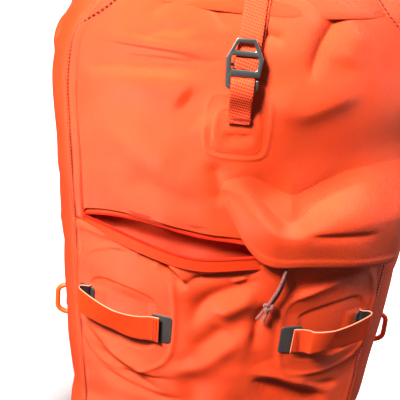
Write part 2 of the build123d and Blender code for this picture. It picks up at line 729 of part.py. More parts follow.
os.makedirs("parts", exist_ok=True)
for node, solid in build().items():
    print(node, len(solid.solids()), round(solid.volume))
    export_step(solid, f"parts/{node}.step")
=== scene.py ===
import json
import math

import bpy
import bmesh
import numpy as np
from mathutils import Matrix, Vector

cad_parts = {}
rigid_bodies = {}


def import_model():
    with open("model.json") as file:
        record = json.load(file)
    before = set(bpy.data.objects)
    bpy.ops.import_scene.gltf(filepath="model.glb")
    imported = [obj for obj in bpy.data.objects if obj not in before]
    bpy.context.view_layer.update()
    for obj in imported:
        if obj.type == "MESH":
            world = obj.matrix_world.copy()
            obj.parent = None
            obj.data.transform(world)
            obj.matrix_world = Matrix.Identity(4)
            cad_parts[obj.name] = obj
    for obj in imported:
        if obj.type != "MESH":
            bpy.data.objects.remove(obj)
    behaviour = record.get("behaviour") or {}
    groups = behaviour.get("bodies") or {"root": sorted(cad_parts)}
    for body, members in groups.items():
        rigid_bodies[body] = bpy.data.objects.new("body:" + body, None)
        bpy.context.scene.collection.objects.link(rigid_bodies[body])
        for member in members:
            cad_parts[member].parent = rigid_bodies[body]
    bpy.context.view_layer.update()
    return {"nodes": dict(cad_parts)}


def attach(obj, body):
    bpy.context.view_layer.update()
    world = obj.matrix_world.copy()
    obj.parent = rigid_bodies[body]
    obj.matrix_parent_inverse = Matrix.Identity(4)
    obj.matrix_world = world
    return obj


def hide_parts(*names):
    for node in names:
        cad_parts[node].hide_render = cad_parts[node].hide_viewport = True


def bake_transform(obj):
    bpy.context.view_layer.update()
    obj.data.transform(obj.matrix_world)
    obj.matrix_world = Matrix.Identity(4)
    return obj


# Large waterproof roll-top backpack. Lengths in this script are millimetres; meshes are metres.
MM = 0.001
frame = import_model()

# ---- Shape of the filled bag: the CAD body's own driving sizes ----
HEIGHT = 590.0
SIZES = (187.0, 187.0, 140.0, 96.0, 244.0)
BACK_CORNER = 36.0
# Share of: height, half width, half width at the front seam, front reach, back reach, radius.
PROFILE = np.array((
    (0.000, 0.695, 0.600, 0.714, 0.940, 0.836),
    (0.042, 0.791, 0.685, 0.843, 0.960, 0.910),
    (0.170, 0.834, 0.722, 0.907, 0.970, 0.947),
    (0.340, 0.888, 0.770, 0.950, 0.980, 0.971),
    (0.510, 0.936, 0.807, 0.986, 1.000, 0.992),
    (0.678, 0.984, 0.856, 1.000, 1.000, 1.000),
    (0.763, 1.000, 0.872, 0.986, 1.000, 0.992),
    (0.814, 0.963, 0.856, 0.957, 0.979, 0.975),
    (0.856, 0.861, 0.802, 0.914, 0.938, 0.967),
    (0.898, 0.749, 0.701, 0.829, 0.875, 0.984),
    (0.949, 0.631, 0.578, 0.629, 0.729, 1.066),
    (1.000, 0.578, 0.497, 0.286, 0.354, 1.393),
))
ZIP_Z = 300.0
ZIP_HALF = 145.0
SEAM_TURN = 1.12  # the front panel ends a little way round the corner
BACK_START = 3.02  # and the back panel just past the end of the side
FRONT_FOOT, FRONT_TOP = 24.0, 572.0  # lower and upper edges of the front
PANEL_FOOT, PANEL_TOP = 22.0, 533.0  # and of the sides and the back
STRAP_X = -7.0  # the top strap and its hook hang left of the middle
HOOK_LOW = 465.5  # height of the hook's lower rim
HANDLE_Z = 212.0
HANDLE_TURN = math.radians(25.4)  # how far round the front each handle sits


def clamp(value):
    """The value, held between 0 and 1."""
    return np.clip(value, 0, 1)


def ease(value):
    """0 to 1 with a soft start and end."""
    value = clamp(value)
    return value * value * (3 - 2 * value)


def dome(share):
    """A quarter of a circle: steep at 0, level from 1 on."""
    return np.sqrt(clamp(1 - (1 - clamp(share)) ** 2))


def bell(value, width, power=2):
    """1 at zero, fading away on both sides."""
    return np.exp(-((value / width) ** power))


def drop(value, at, soft):
    """1 before that place and 0 after it, softly."""
    return 1 / (1 + np.exp((value - at) / soft))


def fuller(wave, power=0.5):
    """A sine or cosine drawn out towards a square wave."""
    return np.sign(wave) * np.abs(wave) ** power


def unit(v):
    """Vectors of length 1."""
    v = np.asarray(v, float)
    return v / np.maximum(np.linalg.norm(v, axis=-1, keepdims=True), 1e-9)


def lengths(line):
    """How long each step of a line of points is."""
    return np.linalg.norm(np.diff(line, axis=0), axis=1)


def distances(line):
    """How far along the line each of its points is."""
    return np.concatenate([[0], np.cumsum(lengths(line))])


def smooth_table():
    """The profile's columns as a smooth curve through its rows, one sample a millimetre."""
    z = PROFILE[:, 0] * HEIGHT
    fine = np.arange(0.0, HEIGHT + 1.0, 1.0)
    columns = []
    for k, size in enumerate(SIZES):
        v = PROFILE[:, k + 1] * size
        h, d = np.diff(z), np.diff(v) / np.diff(z)
        m = np.concatenate(([d[0]], (d[:-1] * h[1:] + d[1:] * h[:-1]) / (h[1:] + h[:-1]), [d[-1]]))
        i = np.clip(np.searchsorted(z, fine, side="right") - 1, 0, len(h) - 1)
        t = (fine - z[i]) / h[i]
        a, b = 2 * t**3 - 3 * t**2 + 1, t**3 - 2 * t**2 + t
        columns.append(a * v[i] + (1 - a) * v[i + 1] + b * h[i] * m[i] + (t**3 - t**2) * h[i] * m[i + 1])
    return fine, columns


FINE_Z, FINE = smooth_table()


def shape(z):
    """Half width, half width at the seam, front reach, back reach and radius at a height."""
    return [np.interp(z, FINE_Z, column) for column in FINE]


def skin(t, z, out=0.0):
    """Points on the bag. t is 0 at the front's middle, 1 at the seam, 2 where the side starts,
    3 where it ends, 3.5 at the back's corner and 4 at the back's middle; left is negative."""
    t, z = np.broadcast_arrays(np.asarray(t, float), np.asarray(z, float))
    side, a = np.sign(t), np.abs(t)
    half, seam, reach, back, radius = shape(z)
    axis = radius - reach
    turn = np.arcsin(seam / radius)
    corner = (half - seam) / (1 - np.sin(turn))
    cx, cy = (radius - corner) * np.sin(turn), axis - (radius - corner) * np.cos(turn)
    rear = np.minimum(BACK_CORNER, 0.5 * (back - cy))
    angle = np.where(a <= 1, a * turn, turn + (np.clip(a, 1, 2) - 1) * (math.pi / 2 - turn))
    r = np.where(a <= 1, radius, corner) + out
    x = np.where(a <= 1, 0.0, cx) + r * np.sin(angle)
    y = np.where(a <= 1, axis, cy) - r * np.cos(angle)
    flat = clamp(a - 2)
    x, y = np.where(a > 2, half + out, x), np.where(a > 2, cy + flat * (back - rear - cy), y)
    bend = (np.clip(a, 3, 3.5) - 3) * math.pi
    x = np.where(a > 3, half - rear + (rear + out) * np.cos(bend), x)
    y = np.where(a > 3, back - rear + (rear + out) * np.sin(bend), y)
    x = np.where(a > 3.5, (half - rear) * (4 - a) * 2, x)
    y = np.where(a > 3.5, back + out, y)
    return np.stack([np.where(side < 0, -x, x), y, z], -1)


def front_t(x, z):
    """The front parameter t of a point with that x."""
    _, seam, _, _, radius = shape(z)
    return np.arcsin(np.clip(x / radius, -0.99, 0.99)) / np.arcsin(seam / radius)


def on_front(x, z, out=0.0):
    """A point on the front, and out from it along its slope."""
    t = front_t(np.asarray(x, float), np.asarray(z, float))
    base = skin(t, z)
    rise = skin(t, np.asarray(z, float) + 2) - skin(t, np.asarray(z, float) - 2)
    across = skin(t + 0.01, z) - skin(t - 0.01, z)
    normal = np.cross(across, rise)
    normal /= np.linalg.norm(normal, axis=-1, keepdims=True)
    return base + normal * np.asarray(out, float)[..., None]


# ---- Meshes ----
def piece(name, points, faces, body, material, uv=None, replaces=(), slot=None, sharp=55, kinds=None):
    """A mesh piece from points in millimetres, riding on a body."""
    mesh = bpy.data.meshes.new(name)
    mesh.from_pydata((np.asarray(points) * MM).tolist(), [], [list(f) for f in faces])
    if uv is not None:
        layer = mesh.uv_layers.new(name="UVMap")
        index = np.empty(len(mesh.loops), np.int32)
        mesh.loops.foreach_get("vertex_index", index)
        layer.data.foreach_set("uv", (np.asarray(uv, float) * MM)[index].ravel())
    tidy = bmesh.new()
    tidy.from_mesh(mesh)
    bmesh.ops.recalc_face_normals(tidy, faces=tidy.faces[:])
    tidy.to_mesh(mesh)
    tidy.free()
    mesh.polygons.foreach_set("use_smooth", [True] * len(mesh.polygons))
    mesh.set_sharp_from_angle(angle=math.radians(sharp))
    for m in material if isinstance(material, (list, tuple)) else [material]:
        mesh.materials.append(m)
    if kinds is not None:
        mesh.polygons.foreach_set("material_index", np.asarray(kinds, np.int32))
    o = bpy.data.objects.new(name, mesh)
    bpy.context.scene.collection.objects.link(o)
    if body:
        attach(o, body)
    if replaces:
        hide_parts(*replaces)
    return o


def grid_faces(rows, columns, loop=False):
    """Quads of a grid of points, row by row; with loop, each row closes on itself."""
    r, c = np.arange(rows - 1), np.arange(columns if loop else columns - 1)
    i = (r[:, None] * columns + c[None, :]).ravel()
    j = (r[:, None] * columns + (c[None, :] + 1) % columns).ravel()
    return np.stack([i, j, j + columns, i + columns], 1)


def normals_of(grid):
    """The outward direction at each point of a grid, given by its rows and columns."""
    across = np.gradient(grid, axis=1)
    up = np.gradient(grid, axis=0)
    return unit(np.cross(across, up))


def shell(name, grid, thickness, body, material, uv=None, **more):
    """A closed sheet: a grid of outer points, and the same grid set in by the thickness."""
    uv = arc_uv(grid) if uv is None else uv
    rows, columns = grid.shape[:2]
    n = normals_of(grid)
    inner = grid - n * thickness
    points = np.concatenate([grid.reshape(-1, 3), inner.reshape(-1, 3)])
    outer_faces = grid_faces(rows, columns)
    count = rows * columns
    ids = np.arange(count).reshape(rows, columns)
    rim = np.concatenate([ids[0, :], ids[1:, -1], ids[-1, -2::-1], ids[-2:0:-1, 0]])
    after = np.roll(rim, -1)
    border = np.stack([after, rim, rim + count, after + count], 1)
    faces = np.concatenate([outer_faces, outer_faces[:, ::-1] + count, border])
    return piece(name, points, faces, body, material, np.concatenate([uv.reshape(-1, 2)] * 2), **more)


def arc_uv(grid):
    """Texture coordinates in millimetres: along each row, and the height."""
    steps = np.linalg.norm(np.diff(grid, axis=1), axis=-1)
    u = np.concatenate([np.zeros((len(grid), 1)), np.cumsum(steps, axis=1)], axis=1)
    return np.stack([u - u[:, -1:] / 2, grid[..., 2]], -1)


# ---- Relief: folds, welds and slack of the fabric ----
def nearest_on(line, x, z):
    """Signed distance to a line of points, left of its direction positive, and the share along it."""
    line = np.asarray(line, float)
    total, begin = lengths(line), distances(line)
    best, signed, share = np.full(x.shape, 1e9), np.zeros(x.shape), np.zeros(x.shape)
    for (ax, az), (bx, bz), length, base in zip(line, line[1:], total, begin):
        dx, dz = (bx - ax) / length, (bz - az) / length
        s = np.clip((x - ax) * dx + (z - az) * dz, 0, length)
        px, pz = x - ax - s * dx, z - az - s * dz
        d = np.hypot(px, pz)
        closer = d < best
        best = np.where(closer, d, best)
        cross = dx * (z - az) - dz * (x - ax)
        signed = np.where(closer, np.where(cross < 0, -d, d), signed)
        share = np.where(closer, (base + s) / begin[-1], share)
    return signed, share


def rounded_line(points, steps=3):
    """The points with their corners cut, a few times over."""
    p = np.asarray(points, float)
    for _ in range(steps):
        a, b = p[:-1] * 0.75 + p[1:] * 0.25, p[:-1] * 0.25 + p[1:] * 0.75
        p = np.concatenate([p[:1], np.stack([a, b], 1).reshape(-1, p.shape[1])[1:-1], p[-1:]])
    return p


def stroke(x, z, points, height, left, right, power=1.6):
    """A fold along points: its height, and how far it reaches to the left and right of it."""
    signed, share = nearest_on(rounded_line(points, 2), x, z)
    width = np.where(signed > 0, left, right)
    ends = ease(np.minimum(share, 1 - share) / FOLD_TAPER)
    return height * ends * bell(np.abs(signed), width, power)


def dent(x, z, cx, cz, rx, rz, depth):
    """An oval hollow."""
    return -depth * bell(np.hypot((x - cx) / rx, (z - cz) / rz), 1)


def slack(a, b, wavelength, height, seed):
    """Soft unevenness, from a few waves in seeded directions."""
    waves = np.random.default_rng(seed)
    total = np.zeros(np.shape(a))
    for _ in range(7):
        angle, phase = waves.uniform(0, 2 * math.pi, 2)
        k = 2 * math.pi / (wavelength * waves.uniform(0.7, 1.5))
        total = total + np.sin(k * (a * math.cos(angle) + b * math.sin(angle)) + phase)
    return height * total / 2.6


def loop_line(points):
    """A closed outline with rounded corners."""
    p = np.asarray(points, float)
    for _ in range(3):
        q = np.roll(p, -1, axis=0)
        p = np.stack([p * 0.75 + q * 0.25, p * 0.25 + q * 0.75], 1).reshape(-1, p.shape[1])
    return np.concatenate([p, p[:1]])


FOLD_GAIN = 1.4  # all folds of the front are this much deeper than listed
FOLD_TAPER = 0.3  # share of a fold over which each of its ends fades away
# Folds of the front above the zip, as (points x z, height, reach above, reach below, sharpness).
UPPER_FOLDS = (
    (((-158, 457), (-124, 466), (-88, 471), (-57, 475), (-34, 477)), -3.8, 19, 5, 1.5),
    (((-150, 448), (-110, 456), (-60, 463), (-30, 463)), 1.6, 10, 14, 2.0),
    (((-136, 488), (-98, 492), (-63, 494), (-38, 492)), 1.8, 9, 8, 1.8),
    (((-140, 483), (-104, 487), (-66, 489), (-40, 488)), -0.9, 1.6, 2.4, 1.4),
    (((-128, 474), (-96, 480), (-62, 483), (-40, 483)), -0.8, 1.6, 2.4, 1.4),
    (((-110, 468), (-84, 475), (-60, 478), (-36, 480)), -0.8, 1.4, 2.4, 1.4),
    (((-118, 500), (-90, 497), (-60, 499)), -0.9, 2.4, 2.0, 1.4),
    (((-104, 497), (-84, 503), (-70, 513)), -1.3, 5, 4, 1.6),
    (((-80, 504), (-63, 509), (-47, 512)), -1.4, 5, 4, 1.6),
    (((-96, 514), (-84, 523), (-72, 535)), -1.2, 5, 5, 1.6),
    (((-60, 500), (-46, 503), (-32, 502)), -1.2, 4, 4, 1.5),
    (((4, 514), (14, 513), (27, 509)), -2.2, 4, 3, 1.4),
    (((-45, 534), (-33, 525), (-22, 512)), -1.6, 5, 4, 1.5),
    (((-60, 486), (-44, 485), (-25, 487)), -1.3, 4, 3, 1.5),
    (((80, 545), (72, 532), (65, 521), (58, 508), (54, 494), (51, 474)), -3.6, 7, 6, 1.4),
    (((98, 520), (86, 505), (78, 488)), 1.8, 14, 12, 2.0),
    (((10, 470), (26, 456), (44, 447), (62, 452), (80, 461), (108, 466)), 2.8, 20, 11, 1.8),
    (((-6, 388), (6, 377), (21, 365), (35, 352), (45, 345), (54, 345), (63, 352), (76, 361), (97, 372),
      (124, 382)), -6.4, 17, 6.5, 1.5),
    (((56, 338), (79, 334), (103, 333), (130, 331)), -1.8, 3.5, 5, 1.6),
    (((-62, 452), (-48, 444), (-34, 430)), -2.6, 14, 12, 2.0),
    (((-120, 420), (-90, 398), (-50, 392)), 1.6, 22, 20, 2.0),
    (((-110, 372), (-60, 352), (-20, 356)), -1.6, 16, 16, 2.0),
    (((-26, 400), (-20, 376), (-12, 352)), -2.2, 8, 8, 1.6),
)
# Folds of the pocket's front.
LOWER_FOLDS = (
    (((-70, 289), (-62, 282), (-50, 271), (-38, 260)), -5.0, 2.4, 4.2, 1.3),
    (((-88, 290), (-78, 287), (-68, 282)), -2.6, 2.0, 3.6, 1.3),
    (((-108, 296), (-98, 293), (-88, 290)), -1.8, 2.0, 3.4, 1.3),
    (((-60, 288), (-48, 278), (-38, 267)), 2.6, 3.4, 2.0, 1.4),
    (((34, 288), (27, 277), (4, 266), (-20, 252), (-29, 232), (-33, 212)), -4.6, 9, 10, 1.7),
    (((-42, 262), (-33, 275), (-14, 280), (14, 286), (34, 296)), -3.8, 3.2, 7, 1.25),
    (((2, 274), (10, 277), (18, 280)), 1.6, 2.6, 2.2, 1.8),
    (((-12, 236), (8, 249), (28, 262)), 4.4, 10, 12, 1.8),
    (((-60, 152), (-43, 160), (-11, 180), (11, 206), (33, 228)), 4.0, 10, 12, 1.8),
    (((-30, 190), (-14, 204), (2, 226)), -2.6, 10, 9, 1.8),
    (((40, 258), (35, 240), (30, 222), (32, 196)), -3.4, 9, 6, 1.6),
    (((22, 236), (24, 205), (16, 176)), 1.8, 9, 10, 1.9),
    (((48, 280), (66, 272), (96, 277), (124, 284)), -2.4, 10, 9, 1.8),
    (((54, 262), (66, 262), (92, 268), (118, 276)), 1.8, 6, 6, 1.8),
    (((28, 160), (52, 160), (80, 143), (118, 127)), -5.6, 4, 13, 1.5),
    (((24, 172), (50, 171), (84, 154), (116, 140)), 2.6, 6, 5, 1.8),
    (((82, 160), (104, 146), (128, 146)), -2.0, 5, 5, 1.6),
    (((-144, 190), (-122, 166), (-96, 152), (-66, 146), (-36, 152)), -2.6, 3, 9, 1.4),
    (((-140, 166), (-112, 154), (-84, 140), (-50, 132)), -2.6, 5, 9, 1.6),
    (((-132, 146), (-100, 132), (-60, 124), (-24, 130)), -1.8, 4, 8, 1.6),
    (((-128, 170), (-100, 162), (-70, 150), (-44, 138)), 1.8, 8, 7, 1.8),
    (((-46, 188), (-30, 160), (-22, 130), (-28, 100)), -2.4, 12, 12, 1.9),
    (((4, 190), (10, 150), (2, 104)), 2.4, 20, 18, 2.0),
    (((-110, 120), (-60, 96), (10, 84), (70, 92)), -1.8, 14, 14, 2.0),
    (((-120, 80), (-50, 60), (30, 52), (100, 66)), 1.4, 12, 12, 2.0),
)
# Welded outlines round the handles: closed outlines in x and z.
WELD_LEFT = ((-147, 210), (-146, 262), (-130, 282), (-96, 294), (-62, 290), (-51, 262), (-46, 210),
             (-50, 172), (-76, 152), (-112, 143), (-136, 162))
WELD_RIGHT = ((55, 205), (54, 236), (58, 256), (84, 268), (116, 277), (140, 284), (147, 240),
              (146, 196), (134, 172), (102, 165), (72, 166), (58, 176))
HAND_LEFT = ((-138, 210), (-134, 244), (-112, 250), (-72, 246), (-66, 232), (-66, 190), (-72, 182),
             (-108, 180), (-134, 188))
HAND_RIGHT = ((69, 205), (69, 234), (76, 242), (104, 249), (134, 254), (140, 220), (138, 192),
              (104, 184), (72, 183))


def box_corners(left, low, right, high, cut):
    """Outline of a box with cut corners."""
    return ((left, high - cut), (left, low + cut), (left + cut, low), (right - cut, low),
            (right, low + cut), (right, high - cut), (right - cut, high), (left + cut, high))


def weld(x, z, outline, height, width, plateau=0.0):
    """A welded outline: a raised line, with what it encloses raised a little too."""
    line = loop_line(outline)
    signed, _ = nearest_on(line, x, z)
    raised = height * bell(signed, width)
    inside = np.zeros(x.shape, bool)
    for (ax, az), (bx, bz) in zip(line, line[1:]):
        crosses = (az > z) != (bz > z)
        at = (bx - ax) * (z - az) / np.where(bz == az, 1e-9, bz - az) + ax
        inside ^= crosses & (x < at)
    depth = np.where(inside, np.abs(signed), -np.abs(signed))
    return raised + plateau * 0.5 * (1 + np.tanh(depth / (0.7 * width)))


def round_corner(z):
    """How far the front panel runs on round the corner, in millimetres."""
    half, seam, _, _, radius = shape(z)
    corner = (half - seam) / (1 - seam / radius)
    return (SEAM_TURN - 1) * (math.pi / 2 - np.arcsin(seam / radius)) * corner


def seam_edge(t, z):
    """Millimetres in from the front panel's sewn edge."""
    _, seam, _, _, radius = shape(z)
    a, past = np.abs(t), round_corner(z)
    inside = (1 - a) * np.arcsin(seam / radius) * radius + past
    return np.where(a <= 1, inside, (SEAM_TURN - a) / (SEAM_TURN - 1) * past)


STITCH_IN = 5.0  # from the sewn edge to the stitches


def seam_relief(edge):
    """The turned, topstitched edge: a step, a stitched groove, and the allowance under it."""
    turned, allowance = 0.9 * drop(edge, 9.5, 0.8), 0.45 * drop(edge, 17.0, 1.2)
    groove, roll = -0.75 * bell(edge - STITCH_IN, 1.1), -1.2 * np.exp(-edge / 1.2)
    return turned + groove + allowance + roll


def near_work(x, z):
    """1 on open fabric, 0 under the handles and the hook loop, where nothing may stand proud."""
    quiet = np.ones(x.shape)
    for cx, cz, rx, rz in ((-101, 212, 56, 26), (101, 212, 56, 26), (STRAP_X, 447, 15, 26)):
        r = np.maximum(np.abs(x - cx) / rx, np.abs(z - cz) / rz)
        quiet = np.minimum(quiet, clamp((r - 0.9) / 0.35))
    return quiet


def folds(x, z, listed):
    """The listed folds, added up."""
    total = np.zeros(x.shape)
    for points, height, above, below, power in listed:
        total += stroke(x, z, points, FOLD_GAIN * height, above, below, power)
    return total


def upper_relief(x, z):
    """Relief of the front above the zip, with the doubled patch under the hook's loop."""
    total = slack(x, z, 95, 0.9, 3) + slack(x, z, 38, 0.35, 4) + folds(x, z, UPPER_FOLDS)
    total += dent(x, z, 80, 398, 60, 40, 10.0)
    patch = weld(x, z, box_corners(-36, 402, 22, 462, 8), 0.7, 1.7, 0.4)
    patch += weld(x, z, box_corners(-27, 412, 12, 450, 6), 0.6, 1.5, 0.25)
    patch += stroke(x, z, ((-20, 425), (-5, 423), (8, 427)), -1.8, 2.2, 5)
    clear = near_work(x, z)
    return np.where(total > 0, total * clear, total * (0.4 + 0.6 * clear)) + patch


def lower_relief(x, z):
    """Relief of the pocket's front, with the welded shapes round the handles."""
    total = slack(x, z, 85, 0.9, 5) + slack(x, z, 34, 0.3, 6) + folds(x, z, LOWER_FOLDS)
    clear = near_work(x, z)
    total = np.where(total > 0, total * clear, total * (0.3 + 0.7 * clear))
    for outline, hand in ((WELD_LEFT, HAND_LEFT), (WELD_RIGHT, HAND_RIGHT)):
        total += weld(x, z, outline, 1.1, 2.6, 0.7)
        total += weld(x, z, hand, 0.0, 1.0, -1.3) * (1 - tab_cover(x, z))
    return total


def tab_cover(x, z):
    """1 beneath the dark tabs, which lie on flat fabric."""
    cover = np.zeros(x.shape)
    for cx in (54.5, 138.0):
        r = np.maximum(np.abs(np.abs(x) - cx) / 16.0, np.abs(z - HANDLE_Z) / 19.0)
        cover = np.maximum(cover, clamp((1.25 - r) / 0.25))
    return cover


# Heights of the pocket's lip and of the opening's upper edge, along x.
LIP_X = (-175, -150, -127, -98, -74, -47, -23, -1, 24, 44, 175)
LIP_Z = (300.5, 301.0, 303.0, 300.5, 297.0, 292.5, 292.5, 296.5, 299.5, 299.5, 299.5)
TAPE_SHOW = 5.2  # height of the lower tape above the lip
TOOTH = 1.7  # height of a row of teeth
MOUTH_LEFT, MOUTH_RIGHT = -145.0, 44.0  # where the zip is open


def smooth_at(x, xs, zs, soft=4.0):
    """The values along x, with soft corners."""
    return sum(np.interp(np.asarray(x, float) + soft * d, xs, zs) for d in range(-3, 4)) / 7


def lip_z(x):
    """Height of the pocket's lip."""
    return smooth_at(x, LIP_X, LIP_Z)


def mouth_z(x):
    """Height of the opening's upper teeth."""
    x = np.asarray(x, float)
    middle, half = (MOUTH_LEFT + MOUTH_RIGHT) / 2, (MOUTH_RIGHT - MOUTH_LEFT) / 2
    rise = 17.0 * clamp(1 - ((x - middle) / half) ** 2)
    return lip_z(x) + TAPE_SHOW + 2 * TOOTH + rise


# ---- Materials ----
def linear(r, g, b):
    """A colour given as 0 to 255 per channel."""
    return [c / 255 / 12.92 if c <= 10 else ((c / 255 + 0.055) / 1.055) ** 2.4 for c in (r, g, b)] + [1.0]


class Finish:
    """A procedural material: nodes that mix colours and heights into one shader. A value given
    to a node is a number, a colour or another node's output."""

    def __init__(self, name, roughness=0.5, **values):
        self.material = bpy.data.materials.new(name)
        self.material.use_nodes = True
        self.tree = self.material.node_tree
        self.shader = self.tree.nodes["Principled BSDF"]
        self.shader.inputs["Roughness"].default_value = roughness
        for key, value in values.items():
            self.shader.inputs[key.replace("_", " ")].default_value = value
        self.coordinates = self.tree.nodes.new("ShaderNodeTexCoord")

    def node(self, kind, **inputs):
        n = self.tree.nodes.new(kind)
        for key, value in inputs.items():
            self.put(n.inputs[key], value)
        return n

    def put(self, socket, value):
        if isinstance(value, bpy.types.NodeSocket):
            self.tree.links.new(value, socket)
        else:
            socket.default_value = value

    def math(self, operation, a, b=0.0, c=0.0):
        n = self.tree.nodes.new("ShaderNodeMath")
        n.operation = operation
        for socket, value in zip(n.inputs, (a, b, c)):
            self.put(socket, value)
        return n.outputs[0]

    def times(self, a, b):
        return self.math("MULTIPLY", a, b)

    def plus(self, a, b):
        return self.math("ADD", a, b)

    def noise(self, scale, detail=3.0, space="Object", stretch=(1, 1, 1)):
        mapping = self.node("ShaderNodeMapping", Vector=self.coordinates.outputs[space])
        mapping.inputs["Scale"].default_value = stretch
        n = self.node("ShaderNodeTexNoise", Vector=mapping.outputs[0])
        n.inputs["Scale"].default_value = scale
        n.inputs["Detail"].default_value = detail
        return n.outputs["Fac"]

    def axes(self):
        n = self.node("ShaderNodeSeparateXYZ", Vector=self.coordinates.outputs["UV"])
        return n.outputs[0], n.outputs[1], n.outputs[2]

    def waves(self, value, pitch):
        """0 to 1 and back, once a pitch, given in metres."""
        turns = self.math("MULTIPLY", value, 2 * math.pi / pitch)
        return self.math("MULTIPLY_ADD", self.math("SINE", turns), 0.5, 0.5)

    def ramp(self, value, low, high, dark, light):
        n = self.tree.nodes.new("ShaderNodeValToRGB")
        self.put(n.inputs[0], value)
        n.color_ramp.elements[0].position, n.color_ramp.elements[1].position = low, high
        n.color_ramp.elements[0].color, n.color_ramp.elements[1].color = dark, light
        return n.outputs[0]

    def spread(self, value, low, high, a, b):
        n = self.tree.nodes.new("ShaderNodeMapRange")
        for socket, v in zip(n.inputs, (value, low, high, a, b)):
            self.put(socket, v)
        return n.outputs[0]

    def mix(self, factor, a, b):
        n = self.tree.nodes.new("ShaderNodeMix")
        n.data_type = "RGBA"
        for key, value in ((0, factor), (6, a), (7, b)):
            self.put(n.inputs[key], value)
        return n.outputs[2]

    def color(self, value):
        self.put(self.shader.inputs["Base Color"], value)
        return self

    def rough(self, value):
        self.put(self.shader.inputs["Roughness"], value)
        return self

    def bump(self, height, distance, strength=1.0):
        n = self.node("ShaderNodeBump", Height=height)
        n.inputs["Distance"].default_value = distance
        n.inputs["Strength"].default_value = strength
        self.put(self.shader.inputs["Normal"], n.outputs[0])
        return self


def coated_fabric(name, dark, light, roughness=0.44):
    """Coated nylon: a satin face with a fine diagonal weave, painted shade along the weave's low lines, and
    soft colour variation.
    """
    f = Finish(name, roughness, Specular_IOR_Level=0.62, Specular_Tint=(1.0, 0.8, 0.6, 1))
    u, v, _ = f.axes()
    twill = f.waves(f.plus(u, f.times(v, 1.35)), 0.0021)
    thread = f.waves(f.math("SUBTRACT", v, f.times(u, 0.4)), 0.0008)
    patches = f.noise(14, 4.0)
    fine = f.noise(900, 2.0)
    # The weave's low lines are mixed towards this darker colour: painted shade in its grooves.
    deep = [c * 0.62 for c in dark[:3]] + [1.0]
    woven = f.times(f.plus(twill, thread), 0.5)
    f.color(f.mix(f.spread(woven, 0.1, 0.8, 0.34, 0.0), f.ramp(patches, 0.32, 0.7, dark, light), deep))
    f.rough(f.spread(f.noise(30, 5.0), 0.3, 0.7, roughness - 0.05, roughness + 0.07))
    height = f.plus(f.times(twill, 0.55), f.times(thread, 0.25))
    height = f.plus(height, f.times(fine, 0.35))
    return f.bump(height, 0.0006, 1.0).material


def webbing(name, dark, light, pitch=0.0026, roughness=0.62):
    """Woven webbing: staggered rows of raised yarns, with painted shade in the gaps between them."""
    f = Finish(name, roughness, Specular_IOR_Level=0.4, Specular_Tint=(1.0, 0.66, 0.4, 1))
    u, v, _ = f.axes()
    slant = f.plus(v, f.times(u, 0.22))
    rows = f.waves(slant, pitch)
    columns = f.waves(f.plus(u, f.times(slant, 0.5)), pitch * 0.8)
    cells = f.math("MAXIMUM", rows, f.times(columns, 0.85))
    yarn = f.noise(2500, 2.0, "UV", (1, 0.25, 1))
    # The low gaps between the yarns take the dark colour: painted shade.
    f.color(f.mix(f.spread(cells, 0.12, 0.55, 1.0, 0.0), light, dark))
    height = f.plus(cells, f.times(yarn, 0.3))
    return f.bump(height, 0.0005, 0.8).material


def moulded(name, color, roughness=0.5, grain=0.0001):
    """Moulded rubber or plastic with a fine grain and slight wear."""
    f = Finish(name, roughness)
    lighter = [min(1.0, c * 1.35 + 0.004) for c in color[:3]] + [1.0]
    f.color(f.ramp(f.noise(60, 5.0), 0.35, 0.75, color, lighter))
    f.rough(f.spread(f.noise(140, 4.0), 0.3, 0.7, roughness - 0.06, roughness + 0.08))
    return f.bump(f.noise(1500, 2.0), grain, 0.6).material


def metal(name, color, roughness):
    """Metal with fine scratches along one direction."""
    f = Finish(name, roughness, Metallic=1.0)
    shade = [c * 0.78 for c in color[:3]] + [1.0]
    lines = f.noise(900, 3.0, "Object", (1, 1, 30))
    f.color(f.ramp(f.noise(45, 4.0), 0.3, 0.7, shade, color))
    f.rough(f.spread(lines, 0.3, 0.7, roughness - 0.07, roughness + 0.1))
    return f.bump(lines, 0.00004, 0.5).material


def mesh_cloth(name, dark, light, pitch=0.0024):
    """Spacer mesh: small holes in staggered rows, painted darker as shade in them."""
    f = Finish(name, 0.8, Sheen_Weight=0.4, Specular_IOR_Level=0.25)
    u, v, _ = f.axes()
    a = f.waves(f.plus(u, v), pitch)
    b = f.waves(f.math("SUBTRACT", u, v), pitch)
    knit = f.times(a, b)
    # The holes take the dark colour: painted shade in them.
    f.color(f.ramp(knit, 0.25, 0.6, light, dark))
    return f.bump(f.math("SUBTRACT", 1.0, knit), 0.0007, 0.9).material


ORANGE_DARK, ORANGE = linear(226, 60, 19), linear(236, 72, 26)
fabric = coated_fabric("coated_orange_fabric", ORANGE_DARK, ORANGE)
# The pocket's inside wall is the same orange fabric made darker: painted shade for the wall lying in shadow
# inside the opening.
shaded_pocket_fabric = coated_fabric("pocket_wall_painted_shade_fabric", linear(206, 48, 18), linear(224, 60, 24), 0.55)
orange_web = webbing("orange_webbing", linear(110, 12, 5), linear(228, 70, 38), 0.0029)
strap_face = webbing("handle_face_webbing", linear(206, 40, 10), linear(236, 68, 22), 0.0013, 0.46)
strap_back = moulded("handle_lining", linear(26, 20, 22), 0.6)
